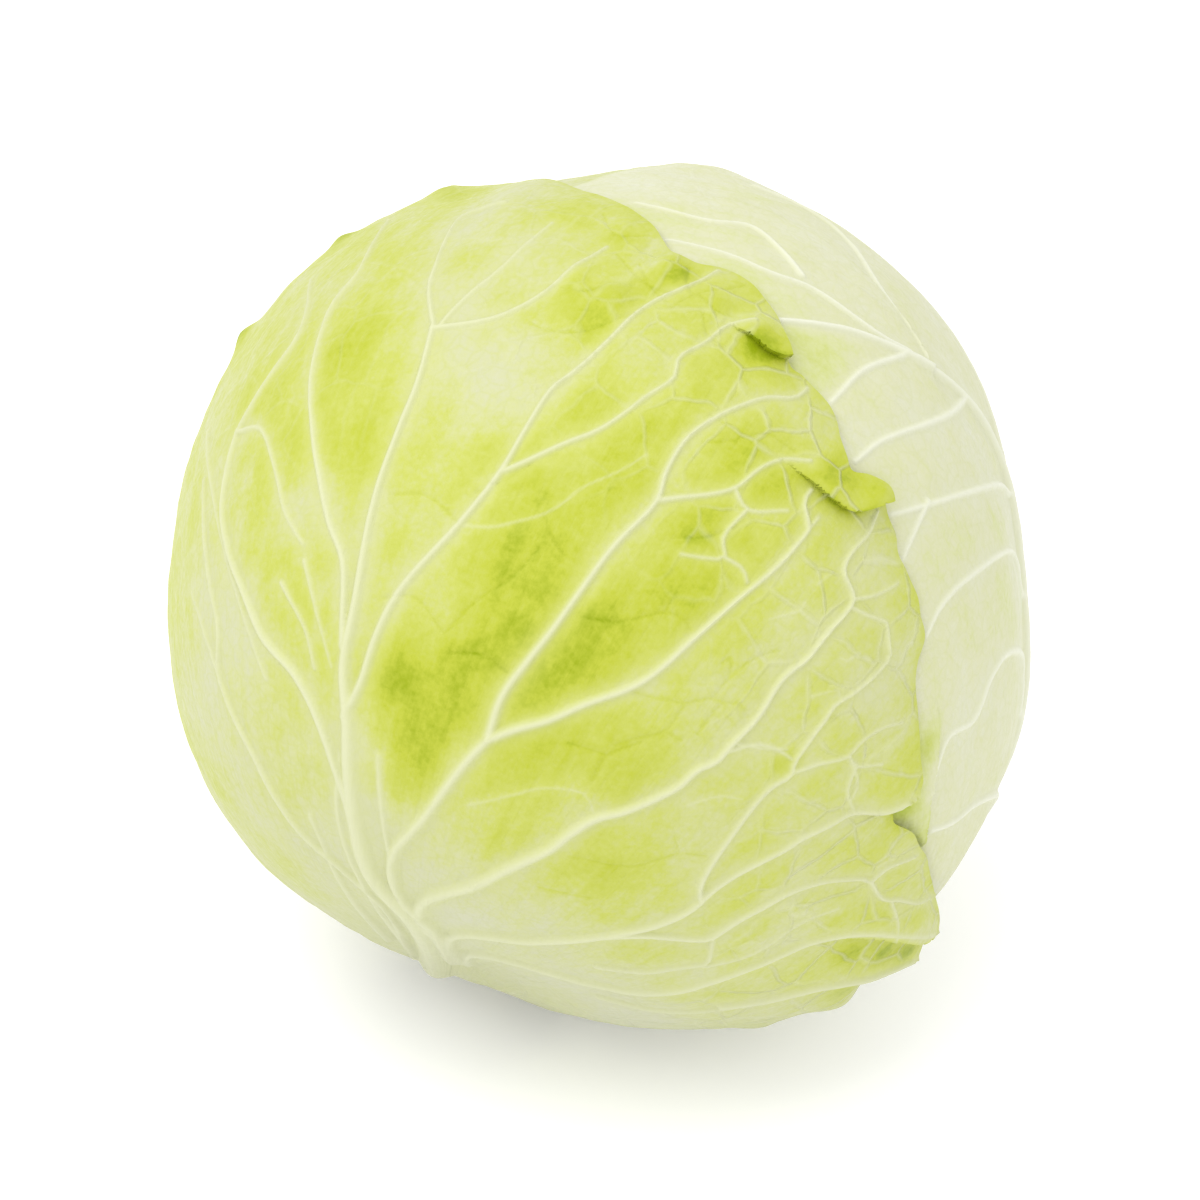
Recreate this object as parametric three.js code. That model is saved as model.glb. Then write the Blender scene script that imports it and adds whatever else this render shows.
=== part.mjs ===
// A head of white cabbage, lying on its side as picked, with its stem end low in front.
// Millimetres, +Z up. The origin is the middle of the flat spot that the head rests on.
import * as THREE from "three";

// Driving dimensions
const HEAD_RADIUS = 94;
const REST_HEIGHT = 91.6;
const REST_EDGE = 0.6;
const LAMINA = 1.0;
const LEAF_GAP = 0.7;
const STEM_RADIUS = 17;
const STEM_CLEARANCE = 1.3;
const STEM_LENGTH = 11;
const SEAT_DEPTH = 6.5;
const STEM_CHAMFER = 1.4;
const HEART_INSET = 4.2;
const RIB_SPREAD = 1.7;
const RIB_RISE = 1.2;

// How the head lies: the stem points down, to the left and to the front
const AXIS_TILT = 27;
const AXIS_YAW = 44;
const FRONT_ELEVATION = 35;

// Spacing of the surface triangles, in degrees seen from the middle of the head
const REST_RINGS = [0, 4, 8, 12, 16];
const REST_STEP = 4;
const MARGIN_STEP = 4.4;
const RIB_STEP = 4.6;
const FIELD_STEP = 7.6;
const DRAPE_REACH = 14;
const COVER_REACH = 5;
const MARGIN_ROLL_REACH = 9;
const HEART_SEGMENTS = 36;
const HEART_RINGS = 20;
const STEM_SEGMENTS = 28;

const DEG = Math.PI / 180;
const MM_PER_DEGREE = HEAD_RADIUS * DEG;
const CENTRE = new THREE.Vector3(0, 0, REST_HEIGHT);

// Directions of the head: polar angle from the stem, longitude from the front
const STEM_AXIS = new THREE.Vector3(
  -Math.sin(AXIS_TILT * DEG) * Math.cos(AXIS_YAW * DEG),
  -Math.sin(AXIS_TILT * DEG) * Math.sin(AXIS_YAW * DEG),
  -Math.cos(AXIS_TILT * DEG),
);
const FRONT = new THREE.Vector3(0, -Math.cos(FRONT_ELEVATION * DEG), Math.sin(FRONT_ELEVATION * DEG));
const FRONT_AXIS = FRONT.clone().addScaledVector(STEM_AXIS, -FRONT.dot(STEM_AXIS)).normalize();
const SIDE_AXIS = new THREE.Vector3().crossVectors(FRONT_AXIS, STEM_AXIS);
const DOWN = new THREE.Vector3(0, 0, -1);

function headDirection(polar, longitude) {
  const ring = Math.sin(polar * DEG);
  return STEM_AXIS.clone()
    .multiplyScalar(Math.cos(polar * DEG))
    .addScaledVector(FRONT_AXIS, ring * Math.cos(longitude * DEG))
    .addScaledVector(SIDE_AXIS, ring * Math.sin(longitude * DEG));
}

// A leaf is drawn on a plane of degrees round its own middle: x to its right, y towards the crown
function leafPlane(polar, longitude) {
  const middle = headDirection(polar, longitude);
  const up = STEM_AXIS.clone().negate().addScaledVector(middle, STEM_AXIS.dot(middle)).normalize();
  const right = new THREE.Vector3().crossVectors(up, middle);
  return { middle, up, right, longitude };
}

function leafDirection(plane, x, y) {
  const angle = Math.hypot(x, y) * DEG;
  const scale = angle > 1e-9 ? (Math.sin(angle) / angle) * DEG : DEG;
  return plane.middle
    .clone()
    .multiplyScalar(Math.cos(angle))
    .addScaledVector(plane.right, scale * x)
    .addScaledVector(plane.up, scale * y);
}

function leafPosition(plane, direction) {
  const angle = Math.acos(THREE.MathUtils.clamp(direction.dot(plane.middle), -1, 1));
  const scale = angle > 1e-9 ? angle / Math.sin(angle) / DEG : 1 / DEG;
  return [scale * direction.dot(plane.right), scale * direction.dot(plane.up)];
}

// The head is a ball with a few broad lumps: polar angle, longitude, width in degrees, share of the radius
const HEAD_LUMPS = [
  [28, 0, 26, -0.1],
  [42, 45, 24, 0.03],
  [62, 74, 18, 0.04],
  [84, 92, 26, 0.035],
  [156, -72, 14, -0.03],
  [168, 150, 22, 0.02],
];

function headRadius(direction) {
  let share = 1;
  for (const [polar, longitude, width, amount] of HEAD_LUMPS) {
    const angle = direction.angleTo(headDirection(polar, longitude)) / DEG;
    share += amount * Math.exp(-((angle / width) ** 2));
  }
  return HEAD_RADIUS * share;
}

// Plane geometry of outlines and ribs
function smoothstep(t) {
  const u = THREE.MathUtils.clamp(t, 0, 1);
  return u * u * (3 - 2 * u);
}

function pointSegment(x, y, [ax, ay], [bx, by]) {
  const dx = bx - ax;
  const dy = by - ay;
  const t = THREE.MathUtils.clamp(((x - ax) * dx + (y - ay) * dy) / (dx * dx + dy * dy || 1), 0, 1);
  return { distance: Math.hypot(x - ax - t * dx, y - ay - t * dy), t };
}

function insidePolygon(x, y, polygon) {
  let inside = false;
  polygon.forEach(([ax, ay], i) => {
    const [bx, by] = polygon[(i + 1) % polygon.length];
    if (ay > y !== by > y && x < ((bx - ax) * (y - ay)) / (by - ay) + ax) inside = !inside;
  });
  return inside;
}

// Distance to the outline, positive inside the leaf
function marginDepth(x, y, outline) {
  let nearest = Infinity;
  outline.forEach((a, i) => {
    const b = outline[(i + 1) % outline.length];
    nearest = Math.min(nearest, pointSegment(x, y, a, b).distance);
  });
  return insidePolygon(x, y, outline) ? nearest : -nearest;
}

function evenPoints(points, step, closed) {
  const curve = new THREE.CatmullRomCurve3(
    points.map(([x, y]) => new THREE.Vector3(x, y, 0)),
    closed,
    "centripetal",
  );
  const count = Math.max(2, Math.round(curve.getLength() / step));
  const even = curve.getSpacedPoints(count).map((p) => [p.x, p.y]);
  return closed ? even.slice(0, -1) : even;
}

// A leaf's outline: its margin by hand, closed by the arc where it meets the stem
function leafOutline(plane, margin) {
  const polar = Math.asin((STEM_RADIUS + STEM_CLEARANCE) / (HEAD_RADIUS * 0.86)) / DEG;
  const arc = [];
  for (let turn = -80; turn <= 80; turn += 16)
    arc.push(leafPosition(plane, headDirection(polar, plane.longitude + turn)));
  const closed = [...margin, ...arc];
  return evenPoints(closed, MARGIN_STEP, true);
}

// A rib stands out of the leaf: half-width and height in millimetres at its foot and its tip
function rib(footWidth, tipWidth, footHeight, tipHeight, points) {
  const line = evenPoints(points, RIB_STEP, false);
  const station = (t) => ({
    width: (RIB_SPREAD * THREE.MathUtils.lerp(footWidth, tipWidth, t)) / MM_PER_DEGREE,
    height: RIB_RISE * THREE.MathUtils.lerp(footHeight, tipHeight, t),
  });
  return { line, station };
}

function ribRelief(x, y, ribs) {
  let relief = 0;
  for (const { line, station } of ribs) {
    for (let i = 0; i + 1 < line.length; i++) {
      const { distance, t } = pointSegment(x, y, line[i], line[i + 1]);
      const { width, height } = station((i + t) / (line.length - 1));
      relief = Math.max(relief, height * (1 - smoothstep(distance / width)));
    }
  }
  return relief;
}

// The front leaf is the outermost one, and its ribs and margin are the ones that show most
const FRONT_PLANE = leafPlane(84, -14);
const FRONT_MARGIN = [
  [26, -78], [42, -69], [56, -60], [68, -50], [77, -41], [82, -33], [83, -26], [78, -18],
  [73, -10], [69, -5], [65, 0], [68, 5], [65, 10], [62, 16], [60, 22], [59, 28],
  [56, 33], [52, 37], [48, 42], [43, 47], [39, 49], [36, 53], [33, 56], [28, 59],
  [24, 60], [21, 65], [16, 69], [9, 71], [0, 70], [-6, 75], [-13, 78.5], [-27, 80],
  [-38, 79], [-50, 75], [-58, 70], [-63, 61], [-67, 51], [-71, 40], [-73, 27], [-75, 12],
  [-75, -5], [-71, -22], [-62, -38], [-50, -54], [-36, -68], [-25, -77],
];
const FRONT_RIBS = [
  rib(8, 1.8, 3.2, 0.9, [[0, -68], [1, -52], [0, -40], [-5, -31], [-7.5, -22], [-9.5, -14], [-11.5, -6.5],
    [-14, 0], [-15.3, 8], [-18.7, 21], [-20.2, 30], [-21.5, 37], [-24.3, 44]]),
  rib(2.6, 1.4, 1.4, 0.6, [[-12, -6], [-11, 4], [-10.2, 12], [-6, 23], [-4.2, 31], [-3.8, 38], [-2.2, 46],
    [0, 52], [2, 59], [6, 65]]),
  rib(2, 1.3, 1, 0.6, [[-4, 31], [2, 37], [5, 41], [9, 47], [11, 51], [10.3, 53.5], [14, 61], [18, 63]]),
  rib(4.6, 2.6, 2.2, 1.4, [[2, -46], [-1, -34], [-1, -23], [0.5, -19], [3.2, -11], [7, -1]]),
  rib(2.6, 1.4, 1.4, 0.6, [[7, -1], [7, 5], [8.4, 10], [11.3, 20], [13.2, 27], [16, 35], [16.2, 43],
    [18.3, 47], [24, 53], [28, 55]]),
  rib(1.8, 1.3, 0.9, 0.6, [[16, 35], [24.8, 39.6], [29.3, 45.4], [33, 46.5]]),
  rib(2.6, 1.4, 1.4, 0.6, [[7, -1], [13.4, 4.2], [22.7, 12.5], [27.3, 20], [34, 31.6], [36, 38], [34.5, 42]]),
  rib(4.2, 1.4, 1.9, 0.7, [[5, -42], [3, -30], [10.4, -23.7], [15.5, -16.7], [20.2, -10.5], [25, -5], [33, 3],
    [37.8, 10.3], [40.8, 19], [43, 23.2], [45.7, 30.2], [43.2, 36], [45, 41]]),
  rib(3.6, 1.4, 1.7, 0.7, [[8, -44], [12.5, -38], [23, -30.6], [30, -26], [36.3, -21.5], [40.5, -15],
    [45.3, -10.2], [52.3, -3.2], [60, 0.5]]),
  rib(1.8, 1.3, 1, 0.6, [[39.3, -17.5], [38.8, -12], [42, -0.5], [45.3, 5], [47.2, 13], [52, 20], [53.5, 24],
    [51, 28.3], [45.9, 29.5]]),
  rib(2.6, 1.3, 1.2, 0.6, [[30, -26], [39, -25], [43.7, -22], [48, -17], [55.8, -12.5], [62, -12.8], [70, -9.5]]),
  rib(3.2, 1.5, 1.4, 0.8, [[12, -47], [28, -42.5], [40, -38.5], [50.8, -31], [59, -26.3], [68, -27]]),
  rib(2.6, 1.3, 1.3, 0.6, [[-15, 4], [-19.4, 11.8], [-28.7, 20.5], [-37.7, 29], [-45.6, 41], [-51, 52], [-56, 58]]),
  rib(3, 1.3, 1.5, 0.6, [[-8.5, -20], [-15.3, -9.5], [-20.5, -5.2], [-31.7, 0], [-38, 4], [-46, 12], [-48, 25],
    [-51, 37], [-59, 42]]),
  rib(3.2, 1.3, 1.6, 0.6, [[-5, -38], [-16.5, -29.5], [-25, -20.2], [-34, -12.5], [-39.5, -3.3], [-52, 8]]),
  rib(2, 1.2, 1, 0.5, [[-23.5, 43.5], [-16.8, 49], [-12.5, 55.7], [-9, 65]]),
  rib(2, 1.2, 1, 0.5, [[-24.3, 44], [-31.7, 52], [-37, 63], [-31, 67]]),
];

// The right leaf lies under the front leaf and folds over the crown
const RIGHT_PLANE = leafPlane(92, 100);
const RIGHT_MARGIN = [
  [30, -84], [44, -78], [54, -66], [58, -50], [66, -34], [70, -16], [68, 2], [64, 20], [58, 38], [50, 56],
  [38, 72], [26, 84], [12, 96], [-4, 105], [-22, 106], [-38, 101], [-50, 92], [-60, 80], [-66, 66], [-66, 50],
  [-64, 34], [-62, 16], [-61, 0], [-58, -16], [-54, -32], [-46, -48], [-36, -64], [-26, -78],
];
const RIGHT_RIBS = [
  rib(7, 1.8, 2.8, 0.8, [[-2, -72], [2, -56], [2, -40], [0, -20], [-3, 0], [-6, 20], [-12, 44], [-18, 52],
    [-24, 58], [-33, 66], [-44, 73]]),
  rib(1.8, 1.3, 0.9, 0.5, [[-25, 59], [-38, 60], [-49, 57]]),
  rib(2, 1.3, 1, 0.5, [[-16, 49], [-30, 50], [-45, 50]]),
  rib(2, 1.3, 1, 0.6, [[-9, 33], [-18, 36.6], [-34, 39], [-50, 39]]),
  rib(2.2, 1.3, 1, 0.6, [[-5, 17], [-20.8, 27.8], [-36.6, 28], [-45, 25]]),
  rib(2.2, 1.3, 1, 0.6, [[-3, 0], [-16, 12], [-28.6, 15], [-37, 7.3], [-43, 4]]),
  rib(2.4, 1.4, 1.2, 0.6, [[1, -20], [-14, -8], [-29, -6], [-39, -9]]),
  rib(2.4, 1.4, 1.2, 0.6, [[2, -42], [-14, -34], [-30, -24], [-42, -20]]),
  rib(2, 1.2, 0.9, 0.5, [[-24, 59], [-28, 68], [-31, 79], [-33, 92]]),
  rib(2, 1.2, 0.9, 0.5, [[-20, 56], [-11, 67], [1, 72], [10, 77], [13, 86]]),
  rib(2.6, 1.3, 1.3, 0.6, [[2, -50], [18, -36], [36, -24], [52, -6]]),
  rib(2.6, 1.3, 1.3, 0.6, [[1, -26], [16, -8], [32, 8], [46, 30]]),
  rib(2.4, 1.3, 1.1, 0.5, [[-4, 6], [10, 24], [22, 42], [30, 62]]),
  rib(2.2, 1.3, 1, 0.5, [[-9, 34], [2, 46], [10, 58], [16, 70]]),
];

// The left and back leaves have the same plan of ribs: laterals that leave the midrib by turns and sweep up
function lateral(side, foot, reach) {
  return rib(2.6, 1.3, 1.3, 0.5, [
    [0, foot], [side * 0.36 * reach, foot + 0.2 * reach],
    [side * 0.72 * reach, foot + 0.55 * reach], [side * 0.92 * reach, foot + 0.95 * reach],
  ]);
}

function plainRibs(bend) {
  const midrib = rib(6.5, 1.6, 2.6, 0.7, [[-bend, -70], [0, -40], [0, 0], [bend, 40], [2 * bend, 66]]);
  const laterals = [
    [-1, -56, 44], [1, -48, 50], [-1, -36, 52], [1, -26, 54], [-1, -14, 50], [1, -2, 44], [-1, 12, 36], [1, 24, 30],
  ];
  return [midrib, ...laterals.map(([side, foot, reach]) => lateral(side, foot, reach))];
}

const LEFT_PLANE = leafPlane(88, -115);
const LEFT_MARGIN = [
  [26, -80], [42, -68], [56, -52], [64, -34], [68, -12], [68, 10], [64, 32], [54, 52], [38, 68], [18, 78],
  [0, 74], [-20, 78], [-38, 68], [-52, 50], [-60, 30], [-64, 8], [-62, -14], [-56, -36], [-44, -56], [-28, -76],
];
const LEFT_RIBS = plainRibs(3);

const BACK_PLANE = leafPlane(90, 165);
const BACK_MARGIN = [
  [26, -82], [42, -70], [54, -52], [60, -30], [62, -6], [58, 20], [50, 44], [34, 62], [12, 72],
  [-10, 72], [-32, 64], [-50, 46], [-60, 22], [-64, -4], [-62, -28], [-54, -52], [-42, -70], [-26, -82],
];
const BACK_RIBS = plainRibs(-3);

// The leaves from the innermost to the outermost
function makeLeaf(name, plane, margin, ribs, color, roll) {
  return { name, plane, outline: leafOutline(plane, margin), ribs, color, roll };
}

const LEAVES = [
  makeLeaf("leaf_back", BACK_PLANE, BACK_MARGIN, BACK_RIBS, 0xe2e6c0, { lift: 1.2, waves: 9, swell: [] }),
  makeLeaf("leaf_left", LEFT_PLANE, LEFT_MARGIN, LEFT_RIBS, 0xdce2ae, { lift: 1.4, waves: 10, swell: [] }),
  makeLeaf("leaf_right", RIGHT_PLANE, RIGHT_MARGIN, RIGHT_RIBS, 0xe4e8c4, { lift: 1.0, waves: 9, swell: [] }),
  makeLeaf("leaf_front", FRONT_PLANE, FRONT_MARGIN, FRONT_RIBS, 0xd2dc78, {
    lift: 1.2,
    waves: 13,
    swell: [[80, -27, 16, 3.4], [64, -48, 14, 3], [-72, 27, 6, 1.6], [-58, 68, 7, 1.8]],
  }),
];

// Share of a leaf's thickness that the layers outside it feel: one on the leaf, fading outside its margin
function drape(direction, leaf) {
  const [x, y] = leafPosition(leaf.plane, direction);
  return smoothstep(1 + marginDepth(x, y, leaf.outline) / DRAPE_REACH);
}

function stackRadius(direction, layers) {
  let radius = headRadius(direction) - HEART_INSET;
  for (const leaf of LEAVES.slice(0, layers)) radius += drape(direction, leaf) * (LAMINA + LEAF_GAP);
  return radius;
}

// The lowest place is pressed flat: every layer moves inwards by what would stand below the table
function restShift(direction) {
  if (direction.angleTo(DOWN) > 40 * DEG) return 0;
  const below = stackRadius(direction, LEAVES.length) - REST_HEIGHT / direction.dot(DOWN);
  if (below <= -REST_EDGE) return 0;
  return below >= REST_EDGE ? below : (below + REST_EDGE) ** 2 / (4 * REST_EDGE);
}

function coverShare(direction, layer) {
  let share = smoothstep(2.6 - direction.angleTo(DOWN) / DEG / 10);
  for (const leaf of LEAVES.slice(layer + 1)) {
    const [x, y] = leafPosition(leaf.plane, direction);
    share = Math.max(share, smoothstep(1 + marginDepth(x, y, leaf.outline) / COVER_REACH));
  }
  return share;
}

// The margin lifts a little off the head, in waves, and more where the leaf frills
function marginLift(x, y, leaf) {
  const { lift, waves, swell } = leaf.roll;
  const depth = Math.max(0, marginDepth(x, y, leaf.outline));
  const near = (1 - smoothstep(depth / MARGIN_ROLL_REACH)) ** 2;
  const turn = Math.atan2(y, x);
  let rise = lift * near * (0.5 + 0.5 * Math.sin(waves * turn) * Math.cos(3 * turn));
  for (const [sx, sy, width, height] of swell)
    rise += height * Math.exp(-(((x - sx) ** 2 + (y - sy) ** 2) / width ** 2));
  return rise;
}

// Delaunay triangles of plane points, by adding one point at a time
function triangulate(points) {
  const far = 4000;
  const all = [...points, [-far, -far], [far, -far], [0, far]];
  const count = points.length;
  const circle = (a, b, c) => {
    const [ax, ay] = all[a];
    const [bx, by] = all[b];
    const [cx, cy] = all[c];
    const twice = 2 * (ax * (by - cy) + bx * (cy - ay) + cx * (ay - by));
    const ux = ((ax * ax + ay * ay) * (by - cy) + (bx * bx + by * by) * (cy - ay) + (cx * cx + cy * cy) * (ay - by)) / twice;
    const uy = ((ax * ax + ay * ay) * (cx - bx) + (bx * bx + by * by) * (ax - cx) + (cx * cx + cy * cy) * (bx - ax)) / twice;
    return { corners: [a, b, c], ux, uy, reach: (ax - ux) ** 2 + (ay - uy) ** 2 };
  };
  let triangles = [circle(count, count + 1, count + 2)];
  points.forEach(([x, y], index) => {
    const edges = new Map();
    triangles = triangles.filter(({ corners, ux, uy, reach }) => {
      if ((x - ux) ** 2 + (y - uy) ** 2 > reach) return true;
      corners.forEach((a, i) => {
        const b = corners[(i + 1) % 3];
        if (!edges.delete(b + "," + a)) edges.set(a + "," + b, [a, b]);
      });
      return false;
    });
    for (const [a, b] of edges.values()) triangles.push(circle(a, b, index));
  });
  return triangles.map((t) => t.corners).filter((corners) => corners.every((i) => i < count));
}

// A direction a few degrees off straight down, where the flat spot is
function nearDown(offset, turn) {
  const ring = Math.sin(offset * DEG);
  return new THREE.Vector3(ring * Math.cos(turn * DEG), ring * Math.sin(turn * DEG), -Math.cos(offset * DEG));
}

// Small fixed shifts keep grid points off the same circle
function jitter(i, j) {
  return 0.35 * Math.sin(12.9898 * i + 78.233 * j);
}

function leafPoints(leaf) {
  const points = [...leaf.outline];
  const clear = (x, y, space) => points.every(([px, py]) => (px - x) ** 2 + (py - y) ** 2 > space * space);
  const add = (x, y, space, inset) => {
    if (marginDepth(x, y, leaf.outline) > inset && clear(x, y, space)) points.push([x, y]);
  };
  for (const { line } of leaf.ribs) line.forEach(([x, y]) => add(x, y, 1.5, MARGIN_STEP / 2));
  for (const { line, station } of leaf.ribs) {
    line.forEach(([x, y], i) => {
      const [ax, ay] = line[Math.max(0, i - 1)];
      const [bx, by] = line[Math.min(line.length - 1, i + 1)];
      const length = Math.hypot(bx - ax, by - ay);
      const { width } = station(i / (line.length - 1));
      for (const side of [-1, 1])
        add(x - (side * width * (by - ay)) / length, y + (side * width * (bx - ax)) / length, 1.1, MARGIN_STEP / 2);
    });
  }
  for (const radius of REST_RINGS) {
    const count = Math.max(1, Math.round((2 * Math.PI * radius) / REST_STEP));
    for (let i = 0; i < count; i++) {
      const [x, y] = leafPosition(leaf.plane, nearDown(radius, (360 * i) / count));
      add(x, y, 2, MARGIN_STEP / 2);
    }
  }
  const rows = Math.ceil(115 / (FIELD_STEP * 0.87));
  for (let j = -rows; j <= rows; j++) {
    for (let i = -rows; i <= rows; i++) {
      const x = (i + (j % 2) / 2) * FIELD_STEP + jitter(i, j);
      const y = j * FIELD_STEP * 0.87 + jitter(j, i);
      add(x, y, 3.6, MARGIN_STEP * 0.6);
    }
  }
  return points;
}

function meshGeometry(positions, triangles) {
  const geometry = new THREE.BufferGeometry();
  geometry.setAttribute("position", new THREE.Float32BufferAttribute(positions.flat(), 3));
  geometry.setIndex(triangles.flat());
  geometry.computeVertexNormals();
  return geometry;
}

// A leaf is a thin closed blade: the same triangles on its outer and inner face, joined along the margin
function leafGeometry(leaf, layer) {
  const points = leafPoints(leaf);
  const face = triangulate(points).filter((corners) => {
    const [x, y] = [0, 1].map((axis) => corners.reduce((sum, i) => sum + points[i][axis], 0) / 3);
    return insidePolygon(x, y, leaf.outline);
  });
  const outer = [];
  const inner = [];
  for (const [x, y] of points) {
    const direction = leafDirection(leaf.plane, x, y);
    const exposed = 1 - coverShare(direction, layer);
    const under = stackRadius(direction, layer) + LEAF_GAP - restShift(direction);
    const low = under + exposed * marginLift(x, y, leaf);
    const high = low + LAMINA + exposed * ribRelief(x, y, leaf.ribs);
    inner.push(direction.clone().multiplyScalar(low).add(CENTRE).toArray());
    outer.push(direction.clone().multiplyScalar(high).add(CENTRE).toArray());
  }
  const count = points.length;
  const triangles = [];
  const rim = new Map();
  for (const [a, b, c] of face) {
    triangles.push([a, b, c], [count + c, count + b, count + a]);
    for (const [p, q] of [[a, b], [b, c], [c, a]])
      if (!rim.delete(q + "," + p)) rim.set(p + "," + q, [p, q]);
  }
  for (const [p, q] of rim.values()) triangles.push([p, count + p, count + q], [p, count + q, q]);
  return meshGeometry([...outer, ...inner], triangles);
}

// The heart: the close-packed inner leaves, with a flat seat where the stem leaves it
const SEAT_DISTANCE = headRadius(headDirection(13, 0)) * Math.cos(13 * DEG) - HEART_INSET - SEAT_DEPTH;
const SEAT_POLAR = Math.atan((STEM_RADIUS + STEM_CLEARANCE) / SEAT_DISTANCE) / DEG;

function heartRadius(direction, polar) {
  if (polar <= SEAT_POLAR) return SEAT_DISTANCE / Math.cos(polar * DEG);
  return headRadius(direction) - HEART_INSET - restShift(direction);
}

function heartGeometry() {
  const positions = [];
  const triangles = [];
  const vertexAt = (ring, turn) => {
    if (ring === 0) return 0;
    if (ring === HEART_RINGS) return 1;
    return 2 + (ring - 1) * HEART_SEGMENTS + (turn % HEART_SEGMENTS);
  };
  const place = (polar, longitude) => {
    const direction = headDirection(polar, longitude);
    return direction.multiplyScalar(heartRadius(direction, polar)).add(CENTRE).toArray();
  };
  const ringPolar = (ring) => SEAT_POLAR + ((180 - SEAT_POLAR) * (ring - 1)) / (HEART_RINGS - 1);
  positions.push(place(0, 0), place(180, 0));
  for (let ring = 1; ring < HEART_RINGS; ring++)
    for (let turn = 0; turn < HEART_SEGMENTS; turn++)
      positions.push(place(ringPolar(ring), (360 * turn) / HEART_SEGMENTS));
  for (let ring = 0; ring < HEART_RINGS; ring++) {
    for (let turn = 0; turn < HEART_SEGMENTS; turn++) {
      const corners = [vertexAt(ring, turn), vertexAt(ring, turn + 1), vertexAt(ring + 1, turn + 1), vertexAt(ring + 1, turn)];
      if (ring > 0) triangles.push([corners[0], corners[1], corners[2]]);
      if (ring < HEART_RINGS - 1) triangles.push([corners[0], corners[2], corners[3]]);
      if (ring === 0) triangles[triangles.length - 1] = [corners[0], corners[2], corners[3]];
    }
  }
  return meshGeometry(positions, triangles);
}

// The stem: a short woody butt, cut across, that all the leaves grow round
function stemGeometry() {
  const profile = [
    [0, 0],
    [STEM_RADIUS, 0],
    [STEM_RADIUS, STEM_LENGTH - STEM_CHAMFER],
    [STEM_RADIUS - STEM_CHAMFER, STEM_LENGTH],
    [0, STEM_LENGTH],
  ].map(([radius, height]) => new THREE.Vector2(radius, height));
  return new THREE.LatheGeometry(profile, STEM_SEGMENTS);
}

function pieceMesh(name, geometry, color, roughness) {
  const mesh = new THREE.Mesh(geometry, new THREE.MeshStandardMaterial({ color, roughness, metalness: 0 }));
  mesh.name = name;
  return mesh;
}

const head = new THREE.Group();
head.name = "cabbage_head";
head.add(pieceMesh("heart", heartGeometry(), 0xe6ebc8, 0.55));
LEAVES.forEach((leaf, layer) => head.add(pieceMesh(leaf.name, leafGeometry(leaf, layer), leaf.color, 0.5)));

const stem = pieceMesh("stem", stemGeometry(), 0xdfe0bd, 0.65);
stem.quaternion.setFromUnitVectors(new THREE.Vector3(0, 1, 0), STEM_AXIS);
stem.position.copy(CENTRE).addScaledVector(STEM_AXIS, SEAT_DISTANCE + LEAF_GAP);
head.add(stem);

export default head;
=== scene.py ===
import math

import bpy
import numpy as np
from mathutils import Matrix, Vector, noise
from mathutils.geometry import delaunay_2d_cdt


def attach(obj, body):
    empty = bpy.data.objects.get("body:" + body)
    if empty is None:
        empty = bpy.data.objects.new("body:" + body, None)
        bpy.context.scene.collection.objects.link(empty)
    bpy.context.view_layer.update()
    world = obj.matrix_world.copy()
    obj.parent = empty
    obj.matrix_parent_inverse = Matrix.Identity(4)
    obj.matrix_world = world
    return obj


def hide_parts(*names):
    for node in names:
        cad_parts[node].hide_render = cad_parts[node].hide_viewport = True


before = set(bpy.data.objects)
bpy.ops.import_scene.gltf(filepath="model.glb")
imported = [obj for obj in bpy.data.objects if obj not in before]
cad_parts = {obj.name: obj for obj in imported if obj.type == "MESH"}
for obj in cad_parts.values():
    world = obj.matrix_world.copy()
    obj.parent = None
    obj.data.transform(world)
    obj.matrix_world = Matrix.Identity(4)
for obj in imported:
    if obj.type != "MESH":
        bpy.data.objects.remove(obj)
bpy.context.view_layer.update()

bl_info = {
    "name": "Cabbage head",
    "version": (1, 0, 0),
    "blender": (4, 5, 0),
    "location": "3D View > Sidebar > Cabbage",
    "description": "Dresses a cabbage head in veined wrapper leaves, and lights it on a pale floor",
    "category": "Object",
}

# Driving dimensions of the head, in metres, the same as in the solids
HEAD_RADIUS = 0.094
REST_HEIGHT = 0.0916
REST_EDGE = 0.0006
LAMINA = 0.001
LEAF_GAP = 0.0007
STEM_RADIUS = 0.017
STEM_CLEARANCE = 0.0013
HEART_INSET = 0.0042

# The leaves end round the stem, at this share of the head's radius
LEAF_FOOT_SHARE = 0.86

# How the head lies, in degrees: the stem points down, to the left and to the front
AXIS_TILT = 27
AXIS_YAW = 44
FRONT_ELEVATION = 35

# Reaches along the surface, in degrees seen from the middle of the head
DRAPE_REACH = 14
COVER_REACH = 1.6
MARGIN_ROLL_REACH = 9
MARGIN_TAPER_REACH = 5
MARGIN_FINE_REACH = 3
MARGIN_TINT_REACH = 1.2
HALO_REACH = 7
REST_REACH = 40
UNDERSIDE_REACH = 26
UNDERSIDE_FADE = 10
LEAF_REACH = 120

# A leaf turns pale from this height over its plane downwards, within this many degrees
FOOT_START = -25
FOOT_FADE = 45

# The leaf thins towards its margin: by how much on its inner and outer face, in metres
THIN_INSIDE = 0.00045
THIN_OUTSIDE = 0.0004

DEG = math.pi / 180
MM = 0.001
DEGREE_LENGTH = HEAD_RADIUS * DEG
CENTRE = np.array([0.0, 0.0, REST_HEIGHT])


# Directions of the head: polar angle from the stem, longitude from the front
def unit(vector):
    return vector / np.linalg.norm(vector)


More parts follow.
